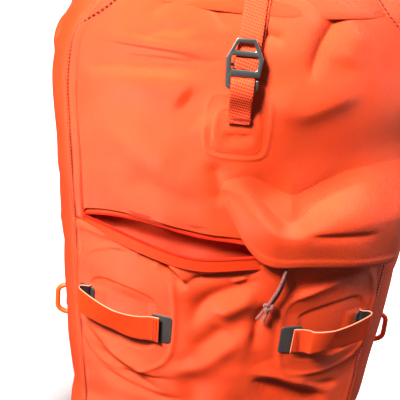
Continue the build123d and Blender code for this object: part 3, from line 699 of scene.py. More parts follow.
# The pale salmon colour on the handle straps' edges is a painted highlight along those edges.
strap_edge_highlight = moulded("handle_edge_painted_highlight", linear(226, 128, 100), 0.7)
maroon_web = webbing("maroon_webbing", linear(84, 28, 30), linear(142, 66, 62), 0.0022)
dark_web = webbing("dark_webbing", linear(24, 20, 22), linear(58, 52, 54), 0.0024)
tape_cloth = webbing("zip_tape", linear(190, 30, 8), linear(226, 56, 18), 0.0011, 0.5)
teeth_plastic = moulded("zip_teeth", linear(206, 36, 14), 0.36)
thread = moulded("red_thread", linear(140, 14, 6), 0.6)
seam_thread = moulded("dark_seam_thread", linear(122, 20, 8), 0.7)
dark_tab = moulded("dark_rubber", linear(48, 42, 42), 0.62, 0.00012)
tube_rubber = moulded("orange_tube", linear(244, 82, 26), 0.36, 0.00003)
hook_metal = metal("satin_aluminium", linear(138, 140, 138), 0.34)
slider_metal = metal("dark_slider_metal", linear(120, 116, 114), 0.34)
buckle_plastic = moulded("black_buckle_plastic", linear(26, 26, 28), 0.42)
pad_mesh = mesh_cloth("back_mesh", linear(22, 22, 25), linear(66, 66, 72))
pad_cloth = coated_fabric("harness_cloth", linear(40, 40, 45), linear(56, 56, 62), 0.6)
paint = {"sheet": moulded("frame_sheet_plastic", linear(30, 30, 32), 0.5),
         "stay": metal("stay_alloy", linear(190, 190, 192), 0.4)}


def cord_finish():
    """Braided cord: rose-brown yarns with dark flecks, crossing along the cord."""
    f = Finish("braided_cord", 0.7, Sheen_Weight=0.3, Specular_IOR_Level=0.35)
    fleck = f.noise(1300, 2.0)
    f.color(f.ramp(fleck, 0.38, 0.62, linear(48, 18, 18), linear(156, 84, 74)))
    return f.bump(f.noise(2600, 2.0), 0.0002, 0.7).material


cord_cloth = cord_finish()

# ---- Body panels ----
FABRIC = 1.4  # thickness of the coated fabric with its seams' backing


def front_grid(low, high, columns, rows, lift):
    """Rows between two edges given as heights along t, with the relief of lift."""
    t = np.linspace(-SEAM_TURN, SEAM_TURN, columns)
    share = np.linspace(0, 1, rows)[:, None]
    x_at = skin(t, ZIP_Z)[:, 0]
    z = low(x_at)[None, :] * (1 - share) + high(x_at)[None, :] * share
    t = np.broadcast_to(t, z.shape)
    base = skin(t, z)
    out = lift(base[..., 0], z) + seam_relief(seam_edge(t, z))
    return base + normals_of(base) * out[..., None], t, z


def level(value):
    """An edge at one height."""
    return lambda x: np.full(np.shape(x), float(value))


def upper_low(x):
    """Lower edge of the upper front: over the opening, and down behind the pocket beside it."""
    beside = clamp((np.abs(x) - ZIP_HALF + 2.0) / 3.0)
    return (mouth_z(x) + 5.0) * (1 - beside) + (lip_z(x) - 5.0) * beside


def under_mouth(x, z):
    """The upper front's lower edge falls back a little over the opening."""
    gap = clamp(1 - ((x + 50) / 100) ** 2)
    tucked = clamp((np.abs(x) - ZIP_HALF - 1.0) / 2.0) * clamp((lip_z(x) + 3 - z) / 3)
    return upper_relief(x, z) - 5.0 * gap * np.exp(-np.clip(z - mouth_z(x), 0, None) / 30) - 1.9 * tucked


def lip_roll(x, z):
    """The pocket's upper edge swells a little, then rolls in over the tape."""
    below = np.clip(lip_z(x) - z, 0, None)
    return lower_relief(x, z) + 1.3 * bell(below - 5, 5) - 1.5 * np.exp(-below / 1.2)


grid, _, _ = front_grid(upper_low, level(FRONT_TOP), 251, 190, under_mouth)
shell("front_upper_skin", grid, FABRIC, "pack", fabric, replaces=["front_panel"], slot="shell_fabric")
grid, _, _ = front_grid(level(FRONT_FOOT), lip_z, 211, 176, lip_roll)
shell("front_pocket_skin", grid, FABRIC, "pack", fabric, replaces=["pocket_panel"], slot="shell_fabric")


def side_relief(t, z, seed):
    """Slack of the side, drawn flat where it meets its seams."""
    a = np.abs(t)
    free = clamp((a - SEAM_TURN) / 0.35) * clamp((3.2 - a) / 0.4)
    run = a * 60
    soft = slack(run, z, 70, 0.5, seed) + slack(run, z, 150, 0.5, seed + 1)
    for at, tilt, deep in ((440, 20, -1.6), (335, -18, -1.4), (250, 22, -1.5), (96, -14, -1.6)):
        soft += stroke(run, z, ((70, at), (110, at + tilt * 0.4), (170, at + tilt)), deep, 9, 14, 1.6)
    return soft * free


def side_panel(name, side, node):
    """One side of the bag, from the front seam to the back corner."""
    t = side * np.linspace(SEAM_TURN - 0.05, 3.08, 90)
    z = np.linspace(PANEL_FOOT, PANEL_TOP, 190)[:, None]
    t, z = np.broadcast_arrays(t, z)
    base = skin(t, z)
    n = normals_of(base)
    n = n if side > 0 else -n
    crumple = np.zeros(z.shape)
    if side < 0:
        crumple = stroke(base[..., 1], z, ((-34, 486), (-38, 476), (-34, 464)), -3.5, 4, 4, 1.4)
        crumple += stroke(base[..., 1], z, ((-20, 492), (-26, 470), (-22, 446)), 1.6, 6, 6, 1.8)
    under_edge = 0.9 * np.exp(-np.clip(np.abs(t) - SEAM_TURN, 0, 9) / 0.05)
    out = side_relief(t, z, 21 if side < 0 else 31) + crumple - under_edge
    grid = base + n * out[..., None]
    grid = grid if side > 0 else grid[:, ::-1]
    return shell(name, grid, FABRIC, "pack", fabric, replaces=[node], slot="shell_fabric")


side_panel("side_skin_left", -1, "side_panel_left")
side_panel("side_skin_right", 1, "side_panel_right")


def back_grid(low, high, columns, rows, start):
    """Points of the back between two heights, from one side round to the other."""
    t = np.concatenate([np.linspace(start, 4, columns), -np.linspace(4, start, columns)[1:]])
    z = np.linspace(low, high, rows)[:, None]
    t, z = np.broadcast_arrays(t, z)
    base = skin(t, z)
    return base, t, z


base, t, z = back_grid(PANEL_FOOT, PANEL_TOP, 60, 150, BACK_START)
edge = clamp((np.abs(t) - BACK_START) / 0.12)
out = slack(base[..., 0], z, 90, 0.8, 41) * edge
out = out + 0.8 * bell(np.abs(t) - 3.06, 0.03)
grid = base + normals_of(base) * out[..., None]
shell("back_skin", grid, FABRIC, "pack", fabric, replaces=["back_panel"], slot="shell_fabric")


def ring_t(count):
    """Parameters once round the bag, from the back's middle by the left side and the front."""
    parts = ((-4, -3.5, 8), (-3.5, -3, 12), (-3, -2, 14), (-2, -1, 16), (-1, 0, count))
    half = np.concatenate([[-4.0]] + [np.linspace(*part)[1:] for part in parts])
    return np.concatenate([half, -half[::-1][1:-1]])


def closed_ring(name, rings, material, replaces, slot, cap_low=False, cap_high=False):
    """A closed tube of fabric from rings of points, capped where asked; without caps it is a wall."""
    rings = np.array(rings)
    rows, columns = rings.shape[:2]
    points = rings.reshape(-1, 3)
    faces = [list(f) for f in grid_faces(rows, columns, loop=True)]
    uv = np.stack([np.tile(np.linspace(0, 1100, columns), rows), points[:, 2]], 1)
    for cap, row in ((cap_low, 0), (cap_high, rows - 1)):
        if cap:
            faces.append([row * columns + i for i in range(columns)])
    return piece(name, points, faces, "pack", material, uv, replaces=replaces, slot=slot)


around = ring_t(40)
base_rings = []
for z_at, out in ((3.0, -18.0), (3.0, -6.0), (0.2, -5.0), (0.0, -2.0), (1.2, -0.3), (4, 0.4), (10, 0.8),
                  (18, 0.7), (23, 0.9), (27, 1.1), (28, 0.2), (27, -1.6)):
    base_rings.append(skin(around, z_at, out))
closed_ring("base_cup", base_rings, fabric, ["base_panel"], "reinforcement", cap_low=True, cap_high=True)

top_rings = []
for z_at, out in ((527, -1.4), (527.5, 0.2), (529, 1.0), (534, 0.9), (542, 0.2), (552, 0.5),
                  (562, -0.2), (572, 0.6), (582, -0.1), (589, -0.2)):
    ring = skin(around, z_at, out)
    normal = normals_of(np.array([skin(around, z_at), skin(around, z_at + 2)]))[0]
    ring += normal * slack(ring[:, 0], ring[:, 1] + z_at, 60, 0.8, 51)[:, None]
    top_rings.append(ring)
closed_ring("top_skin", top_rings, fabric, ["top_panel"], "shell_fabric", cap_high=True)

# ---- More helpers for straps, tubes, plates and patches ----
def even(line, step):
    """The line's points again, at equal steps."""
    line = np.asarray(line, float)
    at = distances(line)
    want = np.linspace(0, at[-1], max(3, int(round(at[-1] / step)) + 1))
    return np.stack([np.interp(want, at, line[:, k]) for k in range(line.shape[1])], 1)


def sweep(name, path, section, across, body, material, scale=None, closed=False, **more):
    """A piece made by carrying a section of (across, out) points along a path."""
    tangent = unit(np.gradient(path, axis=0))
    if closed:
        tangent = unit(np.roll(path, -1, axis=0) - np.roll(path, 1, axis=0))
    across = np.broadcast_to(np.asarray(across, float), path.shape)
    across = unit(across - tangent * np.sum(across * tangent, axis=1, keepdims=True))
    out = np.cross(across, tangent)
    size = np.ones(len(path)) if scale is None else scale
    section = np.asarray(section, float)
    grown = section[None] * size[:, None, None]
    points = path[:, None] + across[:, None] * grown[..., :1] + out[:, None] * grown[..., 1:]
    rows, columns = points.shape[:2]
    uv = np.stack([np.tile(section[:, 0], rows), np.repeat(distances(path), columns)], 1)
    if closed:
        faces = list(grid_faces(rows + 1, columns, loop=True) % (rows * columns))
    else:
        faces = list(grid_faces(rows, columns, loop=True))
        faces += [list(range(columns))[::-1], [(rows - 1) * columns + i for i in range(columns)]]
    return piece(name, points.reshape(-1, 3), faces, body, material, uv, **more)


def flat_section(width, thickness, count=9):
    """Round a flat strap with rounded edges: its inner face, an edge, its outer face, an edge."""
    r = thickness / 2
    e = width / 2 - r
    face = np.linspace(-e, e, count)
    bend = np.radians(np.linspace(-90, 90, 6)[1:-1])
    inner = [(a, -r) for a in face]
    right_edge = [(e + r * math.cos(b), r * math.sin(b)) for b in bend]
    outer = [(a, r) for a in face[::-1]]
    left_edge = [(-e - r * math.cos(b), -r * math.sin(b)) for b in bend]
    return inner + right_edge + outer + left_edge


def strap(name, points, across, width, thickness, body, material, step=1.6, rounds=3, **more):
    """A flat strap along points."""
    path = even(rounded_line(points, rounds), step)
    return sweep(name, path, flat_section(width, thickness), across, body, material, **more)


def circle(radius, sides=16):
    """Points of a circle."""
    a = np.linspace(0, 2 * math.pi, sides, endpoint=False)
    return np.stack([radius * np.cos(a), radius * np.sin(a)], 1)


def steady_across(path):
    """Directions across a path that turn as little as they can along it."""
    tangent = unit(np.gradient(path, axis=0))
    a = unit(np.cross(tangent[0], (0.31, 0.2, 0.93)))
    found = []
    for t in tangent:
        a = unit(a - t * np.dot(a, t))
        found.append(a)
    return np.array(found)


def tube(name, points, radius, body, material, closed=False, step=1.0, rounds=3, sides=16, ends=0.0,
         **more):
    """A round tube along points, its ends rounded off over the length given."""
    path = even(loop_line(points), step)[:-1] if closed else even(rounded_line(points, rounds), step)
    scale = np.ones(len(path))
    if ends:
        run = np.linspace(0, 1, len(path)) * np.sum(lengths(path))
        near = np.minimum(run, run[-1] - run) / ends
        scale = np.maximum(dome(near), 0.2)
    return sweep(name, path, circle(radius, sides), steady_across(path), body, material, scale, closed,
                 **more), path


def plate(name, outline, holes, thickness, bevel, place, body, material, **more):
    """A flat plate with holes and rounded rims, from outlines in its own plane."""
    curve = bpy.data.curves.new(name + "_outline", "CURVE")
    curve.dimensions, curve.fill_mode = "2D", "BOTH"
    curve.extrude, curve.bevel_depth = (thickness / 2 - bevel) * MM, bevel * MM
    curve.bevel_resolution, curve.offset = 3, -bevel * MM
    for ring in [outline, *holes]:
        line = curve.splines.new("POLY")
        line.points.add(len(ring) - 1)
        for p, (x, y) in zip(line.points, ring):
            p.co = (x * MM, y * MM, 0, 1)
        line.use_cyclic_u = True
    source = bpy.data.objects.new(name + "_source", curve)
    bpy.context.scene.collection.objects.link(source)
    bpy.context.view_layer.update()
    mesh = bpy.data.meshes.new_from_object(source.evaluated_get(bpy.context.evaluated_depsgraph_get()))
    bpy.data.objects.remove(source)
    bpy.data.curves.remove(curve)
    points = np.array([v.co[:] for v in mesh.vertices]) / MM
    faces = [list(f.vertices) for f in mesh.polygons]
    bpy.data.meshes.remove(mesh)
    merged, index = np.unique(np.round(points, 3), axis=0, return_inverse=True)
    index = index.reshape(-1)
    faces = [list(dict.fromkeys(index[f])) for f in faces]
    faces = [[int(i) for i in f] for f in faces if len(f) > 2]
    return piece(name, place(merged), faces, body, material, merged[:, :2], sharp=40, **more)


def corners(outline, radius, steps=5):
    """An outline with each corner rounded to the radius."""
    p = np.asarray(outline, float)
    done = []
    for a, b, c in zip(np.roll(p, 1, axis=0), p, np.roll(p, -1, axis=0)):
        ta, tc = unit(a - b), unit(c - b)
        half = 0.5 * math.acos(float(np.clip(np.dot(ta, tc), -1, 1)))
        reach = min(radius / max(math.tan(half), 0.05), 0.45 * np.linalg.norm(a - b),
                    0.45 * np.linalg.norm(c - b))
        for s in np.linspace(0, 1, steps):
            done.append((1 - s) ** 2 * (b + ta * reach) + 2 * s * (1 - s) * b + s * s * (b + tc * reach))
    return np.array(done)


def box_outline(cx, cz, width, height, radius):
    """A rectangle with rounded corners."""
    w, h = width / 2, height / 2
    return corners([(cx - w, cz - h), (cx + w, cz - h), (cx + w, cz + h), (cx - w, cz + h)], radius)


def patch(name, outline, height, place, body, material, base=0.0, rings=None, step=2.0, **more):
    """A flat or cushioned piece on a surface: outline in x and z, height as a function of
    x, z and the distance in from the edge, place as a function of x, z and the height."""
    line = even(np.concatenate([outline, outline[:1]]), step)[:-1]
    middle = line.mean(0)
    shares = rings if rings is not None else (1, 0.985, 0.96, 0.92, 0.86, 0.76, 0.62, 0.46, 0.3, 0.15)
    count = len(line)
    flat = [line] + [middle + (line - middle) * s for s in shares] + [middle[None]]
    flat = np.concatenate(flat)
    inset = np.abs(nearest_on(np.concatenate([line, line[:1]]), flat[:, 0], flat[:, 1])[0])
    out = height(flat[:, 0], flat[:, 1], inset)
    out[:count] = base
    under = middle[None]
    crown = place(flat[:, 0], flat[:, 1], out)
    points = np.concatenate([crown, place(under[:, 0], under[:, 1], np.full(1, base))])
    faces = [list(f) for f in grid_faces(len(shares) + 1, count, loop=True)]
    last, top, bottom = len(shares) * count, len(points) - 2, len(points) - 1
    for i in range(count):
        j = (i + 1) % count
        faces.append([last + i, last + j, top])
        faces.append([j, i, bottom])
    uv = np.concatenate([flat, under])
    return piece(name, points, faces, body, material, uv, **more)


def cushion(top, edge):
    """A height that rounds off near the edge."""
    return lambda x, z, inset: top * dome(inset / edge)


def threads(name, runs, radius, body, material):
    """Stitches: short threads, each from one point to another."""
    points, faces = [], []
    for a, b in runs:
        a, b = np.asarray(a, float), np.asarray(b, float)
        axis = unit(b - a)
        side = unit(np.cross(axis, (0.3, 0.5, 0.8)))
        other = np.cross(axis, side)
        start = len(points)
        points.append(a)
        for share, grow in ((0.12, 0.75), (0.5, 1.0), (0.88, 0.75)):
            for k in range(6):
                angle = k * math.pi / 3
                spoke = side * math.cos(angle) + other * math.sin(angle)
                points.append(a + (b - a) * share + radius * grow * spoke)
        points.append(b)
        for k in range(6):
            n = (k + 1) % 6
            faces.append([start, start + 1 + k, start + 1 + n])
            for row in (0, 6):
                faces.append([start + 1 + row + k, start + 7 + row + k, start + 7 + row + n,
                              start + 1 + row + n])
            faces.append([start + 13 + k, start + 19, start + 13 + n])
    return piece(name, points, faces, body, material)


BLOCK = [(x, y, z) for x in (-1, 1) for y in (-1, 1) for z in (-1, 1)]
BLOCK_FACES = [[0, 1, 3, 2], [4, 6, 7, 5], [0, 4, 5, 1], [2, 3, 7, 6], [0, 2, 6, 4], [1, 5, 7, 3]]


def blocks(name, places, size, body, material, **more):
    """Many small blocks; each place is a point and its directions across, out and up."""
    points, faces = [], []
    for at, across, out, up in places:
        start = len(points)
        for x, y, z in BLOCK:
            points.append(at + (across * x * size[0] + out * y * size[1] + up * z * size[2]) / 2)
        faces += [[start + i for i in f] for f in BLOCK_FACES]
    return piece(name, points, faces, body, material, **more)


def lay_front(lift, relief=lambda x, z: 0.0):
    """Lays a patch on the front, that much out from its relief."""
    return lambda x, z, out: on_front(x, z, relief(x, z) + out + lift)


# ---- Seam stitching ----
STITCH_PITCH, STITCH_RUN, STITCH_LIFT = 3.4, 2.3, 1.15


def stitch_point(side, z):
    """A point of the seam's stitching."""
    t = SEAM_TURN - (SEAM_TURN - 1) * STITCH_IN / round_corner(z)
    base, above = skin(side * t, z), skin(side * t, z + 1)
    along = skin(side * (t + 0.01), z)
    return base + unit(np.cross((along - base) * side, above - base)) * STITCH_LIFT


for side, label in ((-1, "left"), (1, "right")):
    heights = np.arange(30, 566, STITCH_PITCH)
    runs = [(stitch_point(side, z), stitch_point(side, z + STITCH_RUN)) for z in heights]
    threads("seam_stitches_" + label, runs, 0.85, "pack", seam_thread)

# ---- Pocket: wall, zip, slider and cord ----
t = np.linspace(-0.9, 0.9, 90)
z = np.concatenate([np.linspace(76, 120, 12), np.linspace(126, 330, 40)])[:, None]
t, z = np.broadcast_arrays(t, z)
climb = clamp((z - 76) / 60) ** 0.6
fall = -2.6 - climb * (7.0 + 10.0 * clamp((0.9 - np.abs(t)) / 0.1) ** 0.5)
fall = fall * np.where(z > 300, np.clip((332 - z) / 32, 0.18, 1), 1)
base = skin(t, z)
grid = base + normals_of(base) * (fall + slack(base[..., 0], z, 50, 0.8, 61))[..., None]
shell("pocket_wall_skin", grid, 1.0, "pack", shaded_pocket_fabric, replaces=["pocket_wall"])

zip_x = np.linspace(-ZIP_HALF - 4, ZIP_HALF + 4, 150)


def mouth_bulge(x):
    """How far the slack lip of the open pocket stands out."""
    return 4.5 * clamp(1 - ((np.asarray(x, float) + 48) / 96) ** 2)


def tape(name, low, high, out, node):
    """A zip tape between two edges, given as heights along x."""
    rows = np.linspace(0, 1, 9)[:, None]
    x = np.broadcast_to(zip_x, (9, len(zip_x)))
    z = low(x) * (1 - rows) + high(x) * rows
    grid = on_front(x, z, out(x))
    return shell(name, grid, 0.8, "pack", tape_cloth, replaces=[node], slot="webbing")


def lower_out(x):
    """How far out the lower tape lies."""
    return mouth_bulge(x) - 1.0


def upper_out(x):
    """How far out the upper tape lies: it falls back over the opening."""
    return -2.2 - 5.0 * clamp(1 - ((np.asarray(x, float) + 50) / 100) ** 2)


tape("lower_zip_tape", lambda x: lip_z(x) - 7, lambda x: lip_z(x) + TAPE_SHOW, lower_out, "zip_tape_lower")
tape("upper_zip_tape", mouth_z, lambda x: mouth_z(x) + 14, upper_out, "zip_tape_upper")


def teeth(name, height, out, node):
    """A row of teeth, evenly spaced along a tape."""
    at = even(np.stack([zip_x, height(zip_x)], 1), 1.9)
    x, z = at[:, 0], at[:, 1]
    centre = on_front(x, z, out(x))
    outward = unit(on_front(x, z, out(x) + 1.0) - centre)
    along = unit(np.gradient(centre, axis=0))
    places = [(c, a, o, np.cross(o, a)) for c, a, o in zip(centre, along, outward)]
    blocks(name, places, (1.25, 2.4, TOOTH), "pack", teeth_plastic, replaces=[node], slot="zip_coil")


teeth("lower_zip_teeth", lambda x: lip_z(x) + TAPE_SHOW + TOOTH / 2, lambda x: lower_out(x) - 0.4,
      "zip_coil_lower")
teeth("upper_zip_teeth", lambda x: mouth_z(x) - TOOTH / 2, lambda x: upper_out(x) - 0.4, "zip_coil_upper")
stops = []
for x in (-ZIP_HALF + 1, ZIP_HALF - 1):
    at = on_front(x, lip_z(x) + TAPE_SHOW + TOOTH, -1.2)
    stops.append((at, np.array([1.0, 0, 0]), np.array([0, -1.0, 0]), np.array([0, 0, 1.0])))
blocks("zip_end_blocks", stops, (2.2, 3.2, 5.0), "pack", teeth_plastic, replaces=["zip_end_stops"],
       slot="zip_coil")

SLIDER_X, SLIDER_Z = 50.0, 306.3
ZIP_AXIS_Y = 104.0  # the zip curves round the upright line there
slider_at = on_front(SLIDER_X, SLIDER_Z, 0.0)
slider_out = unit(np.array([SLIDER_X, slider_at[1] - ZIP_AXIS_Y, 0.0]))
slider_across = np.cross(slider_out, (0, 0, 1.0))
slider_across = slider_across if slider_across[0] > 0 else -slider_across
slider_up = np.array([0, 0, 1.0])


def slider_place(depth):
    """Lays a plate's own plane on the slider, that far out."""
    def place(p):
        flat = p[:, :1] * slider_across + p[:, 1:2] * slider_up
        return slider_at + flat + (p[:, 2:3] + depth) * slider_out
    return place


slider_shape = corners([(-6.5, -3.4), (-3.5, -4.8), (5, -4.2), (6.5, -2.6), (6.5, 2.6), (5, 4.2),
                        (-3.5, 4.8), (-6.5, 3.4)], 1.2)
plate("slider_front_plate", slider_shape, [], 1.6, 0.5, slider_place(1.1), "slider", slider_metal,
      replaces=["zip_slider"], slot="slider_metal")
plate("slider_rear_plate", slider_shape, [], 1.4, 0.4, slider_place(-4.4), "slider", slider_metal,
      slot="slider_metal")
neck = corners([(-1.6, -1.4), (1.6, -1.4), (1.6, 1.4), (-1.6, 1.4)], 0.6)
plate("slider_neck", neck, [], 5.6, 0.3, slider_place(-1.6), "slider", slider_metal, slot="slider_metal")
bail_bends = ((3.9, 1.0), (3.9, 3.4), (2.6, 4.9), (-1.2, 4.9), (-2.6, 3.4), (-2.6, 1.0))
bail = [slider_at + slider_up * u + slider_out * o for u, o in bail_bends]
tube("slider_bail", bail, 0.65, "slider", slider_metal, step=0.4, slot="slider_metal")

ring_top = slider_at + slider_up * 1.8 + slider_out * 3.6
ring_foot = np.array([51.25, -138.65, 299.6])
ring_down = unit(ring_foot - ring_top)
ring_side = unit(np.cross(ring_down, slider_out))
ring_long, ring_half = float(np.linalg.norm(ring_foot - ring_top)), 3.6
ring_corners = ((0, -ring_half), (0, ring_half), (ring_long, ring_half), (ring_long, -ring_half))
ring_points = [ring_top + ring_down * d + ring_side * s for d, s in ring_corners]
tube("pull_ring", ring_points, 0.6, "pull", slider_metal, closed=True, step=0.5, sides=12,
     replaces=["zip_pull_ring"], slot="slider_metal")

CORD_RADIUS = 1.5
CORD_FRONT = ((51.3, -138.7, 300.3), (51.7, -140.7, 299.3), (51.6, -141.6, 296.7),
              (50.7, -141.8, 291.6), (48.9, -141.4, 282.5), (46.3, -140.9, 273.5),
              (42.8, -140.2, 264.5), (38.8, -139.4, 255.5), (34.4, -138.9, 246.8), (29.6, -138.7, 239.0))
CORD_REAR = ((51.2, -138.6, 300.3), (50.9, -136.6, 299.3), (50.9, -135.8, 296.7), (51.3, -136.2, 291.4),
             (51.1, -137.2, 282.5), (49.4, -137.9, 273.5), (46.2, -138.1, 264.5), (42.0, -137.8, 255.5),
             (38.6, -138.2, 246.0), (36.0, -138.7, 236.5))


def braid(points, name):
    """A braided cord: its yarns cross as small bumps along it."""
    cord_piece, path = tube(name, points, CORD_RADIUS, "pull", cord_cloth, step=0.35, rounds=4,
                            sides=20, ends=0.8, slot="cord")
    along = np.repeat(np.arange(len(path)) * 0.35, 20)
    around_it = np.tile(np.arange(20) * 2 * math.pi / 20, len(path))
    wave = np.cos(4 * around_it + along * 2.4) * np.cos(4 * around_it - along * 2.4)
    centre = np.repeat(path, 20, axis=0)
    co = np.array([v.co[:] for v in cord_piece.data.vertices]) / MM
    co = co + (co - centre) * (0.11 * wave)[:, None]
    cord_piece.data.vertices.foreach_set("co", (co * MM).ravel())
    return cord_piece, path


front_leg, front_line = braid(CORD_FRONT, "pull_cord_front_leg")
rear_leg, rear_line = braid(CORD_REAR, "pull_cord_rear_leg")
knot_angle = np.linspace(0, 2 * math.pi, 60, endpoint=False)
knot_turns = np.stack([1.25 * (np.sin(knot_angle) + 2 * np.sin(2 * knot_angle)),
                       -1.5 * np.sin(3 * knot_angle),
                       1.55 * (np.cos(knot_angle) - 2 * np.cos(2 * knot_angle))], 1)
knot, _ = tube("cord_overhand_knot", knot_turns + (39.4, -138.9, 253.6), 1.75, "pull", cord_cloth,
               closed=True, step=0.5, sides=14, replaces=["cord_knot"], slot="cord")
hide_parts("pull_cord_front")
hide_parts("pull_cord_rear")
for leg, line in ((front_leg, front_line), (rear_leg, rear_line)):
    run = float(np.sum(lengths(line))) * MM
    [list(p) for p in line * MM]

# ---- Storm flap: the hood over the closed half of the zip ----
# The hood along x: its hem, where it leaves the front above, and how far it stands out.
FLAP_X = (-15, -5, 4, 13, 24, 36, 50, 65, 84, 111, 150)
FLAP_Z = (363, 346, 331, 317, 306, 301.5, 300.5, 301, 299, 295, 291)
FLAP_TOP_Z = (376, 386, 392, 390, 384, 376, 370, 376, 388, 400, 404)
FLAP_OUT = 18.4
columns, rows = 140, 110
x = np.linspace(-15, 163, columns)
share = np.linspace(0, 1, rows)[:, None]
low = smooth_at(x, FLAP_X, FLAP_Z, 1.4)
top = smooth_at(x, FLAP_X, FLAP_TOP_Z)
z = low * (1 - share) + top * share
x = np.broadcast_to(x, z.shape)
fade = 1 - share
rise = ease(fade / 0.55)
ramp = ease((x + 15) / 52)
end = 1 - clamp((x - 140) / 22) ** 2 * 0.55
tuck = 1 - 0.31 * clamp((fade - 0.5) / 0.5) ** 1.5
proud = -0.9 + (FLAP_OUT + 0.9) * rise * ramp * end * tuck + 3.8 * (1 - ramp) * clamp(fade * 3)
edge_in = z - z[0]
hem_relief = 0.8 * drop(edge_in, 9.0, 0.8) - np.exp(-edge_in)
grid = on_front(x, z, upper_relief(x, z) + proud + hem_relief + 0.6 * slack(x, z, 46, 0.8, 71) * fade)
shell("storm_flap_hood", grid, 1.6, "pack", fabric, replaces=["storm_flap"], slot="shell_fabric")

# ---- Top strap, hook and its loop ----
LEAN = math.radians(12.6)  # the hook leans back with the front
HOOK_FOOT_Y = -137.9


def hook_yz(up, out):
    """Up along the leaning hook, and out from it."""
    y = HOOK_FOOT_Y + up * math.sin(LEAN) - out * math.cos(LEAN)
    return (y, HOOK_LOW + up * math.cos(LEAN) + out * math.sin(LEAN))


def face_yz(z, out):
    """Out from the front's middle at a height."""
    return (-float(shape(z)[2]) - out, z)


def top_webbing(name, run, thickness, shift=0.0, lean=0.0, **more):
    """Orange webbing through points (y, z), shifting sideways as it climbs above the hook."""
    points = [(STRAP_X + shift + lean * max(0.0, z - HOOK_LOW), y, z) for y, z in run]
    strap(name, points, (1, 0, 0), 20, thickness, "pack", orange_web, slot="webbing", **more)


SIDEWAYS = 0.075  # how far the strap wanders to the right, per millimetre it climbs
upper_run = [hook_yz(20, 7.8), hook_yz(26, 8.0), hook_yz(33, 6.4), hook_yz(40, 4.0), hook_yz(50, 3.0),
             face_yz(530, 3.0), face_yz(545, 3.2), face_yz(560, 3.6), face_yz(574, 3.6), (-43.5, 592),
             (-31, 606), (-24, 618), (-23.4, 630), (-19, 646), (-9, 655.4), (0, 656.6), (9, 655.4),
             (19, 646), (24, 630), (26.5, 616), (37.5, 598), (51, 578), (67.5, 560), (77, 545),
             (84, 530), (86.5, 520)]
under_run = [hook_yz(20, 7.4), hook_yz(19.4, 5.4), hook_yz(20, 3.4), hook_yz(30, 1.2), hook_yz(44, 0.9),
             face_yz(525, 1.1), face_yz(540, 1.2), face_yz(552, 1.2)]
top_webbing("top_strap_upper", upper_run, 1.5, 0.0, SIDEWAYS, replaces=["top_strap"])
top_webbing("top_strap_under", under_run, 1.3, 1.2, SIDEWAYS * 1.25)
loop_run = [hook_yz(14, 3.2), hook_yz(12.6, 5.0), hook_yz(12.4, 8.0), hook_yz(11.2, 12.4),
            hook_yz(5, 13.6), hook_yz(-3, 12.2), face_yz(456, 8.4), face_yz(449, 5.0),
            face_yz(443, 3.8), face_yz(437.5, 3.4)]
loop_under = [hook_yz(14, 3.4), hook_yz(12, 1.9), hook_yz(4, 1.7), face_yz(458, 1.6), face_yz(450, 1.6),
              face_yz(437.5, 1.7)]
top_webbing("hook_loop_front", loop_run[::-1], 1.5, step=1.2, replaces=["hook_loop"])
top_webbing("hook_loop_rear", loop_under[::-1], 1.3)
tack = []
for k in range(13):
    xa, xb = STRAP_X - 9 + 1.5 * k, STRAP_X - 9 + 1.5 * (k + 0.5)
    tack.append((on_front(xa, 439.5, 4.3), on_front(xb, 443.5, 4.8)))
    tack.append((on_front(xb, 443.5, 4.8), on_front(xb + 0.75, 439.5, 4.3)))
threads("loop_bartack", tack, 0.4, "pack", thread)

HOOK_OUTLINE = ((-8, 46), (8, 46), (16, 29), (14, 13.5), (-10.6, 13.5), (-10.6, 7), (10.8, 7),
                (10.8, 11.5), (13.5, 11.5), (13.5, 3.4), (10.5, 0.6), (-9, 0.6), (-14.8, 5), (-16, 29))
HOOK_WINDOWS = (((-6.4, 42), (6.4, 42), (9.6, 35.5), (-9.6, 35.5)),
                ((-11.6, 31), (11.6, 31), (11, 19.5), (-11, 19.5)))


def hook_place(out):
    """Lays a plate's own plane along the hook, that far out."""
    def place(p):
        y, z = hook_yz(p[:, 1], out + p[:, 2])
        return np.stack([STRAP_X + p[:, 0], y, z], 1)
    return place


plate("hook_plate", corners(HOOK_OUTLINE, 1.6), [corners(w, 1.4) for w in HOOK_WINDOWS], 3.2, 0.7,
      hook_place(9.2), "hook", hook_metal, replaces=["hook_buckle"], slot="hook_metal")
plate("hook_bar", box_outline(0, 23, 26, 2.6, 0.8), [], 1.6, 0.5, hook_place(5.8), "hook", hook_metal,
      slot="hook_metal")
for side, label in ((-1, "left"), (1, "right")):
    plate("hook_lug_" + label, box_outline(side * 12.6, 23, 1.8, 2.8, 0.5), [], 3.6, 0.3,
          hook_place(6.4), "hook", hook_metal, slot="hook_metal")

patch("loop_weld_patch", box_outline(STRAP_X, 427, 46, 40, 10), cushion(0.5, 2.0),
      lay_front(-0.35, upper_relief), "pack", fabric, base=-0.4, step=1.5, replaces=["loop_patch"],
      slot="shell_fabric")

# ---- Handles ----
STRAP_TILT = 0.26
STRAP_END = {-1: 44.5, 1: 39.0}  # where the inner end of the strap is sewn down, from the middle
TAB_EDGE = {-1: 58.3, 1: 52.6}  # and where the dark tab beneath it ends
OUTER_CLIMB = 8.0  # the outer end of each handle sits higher


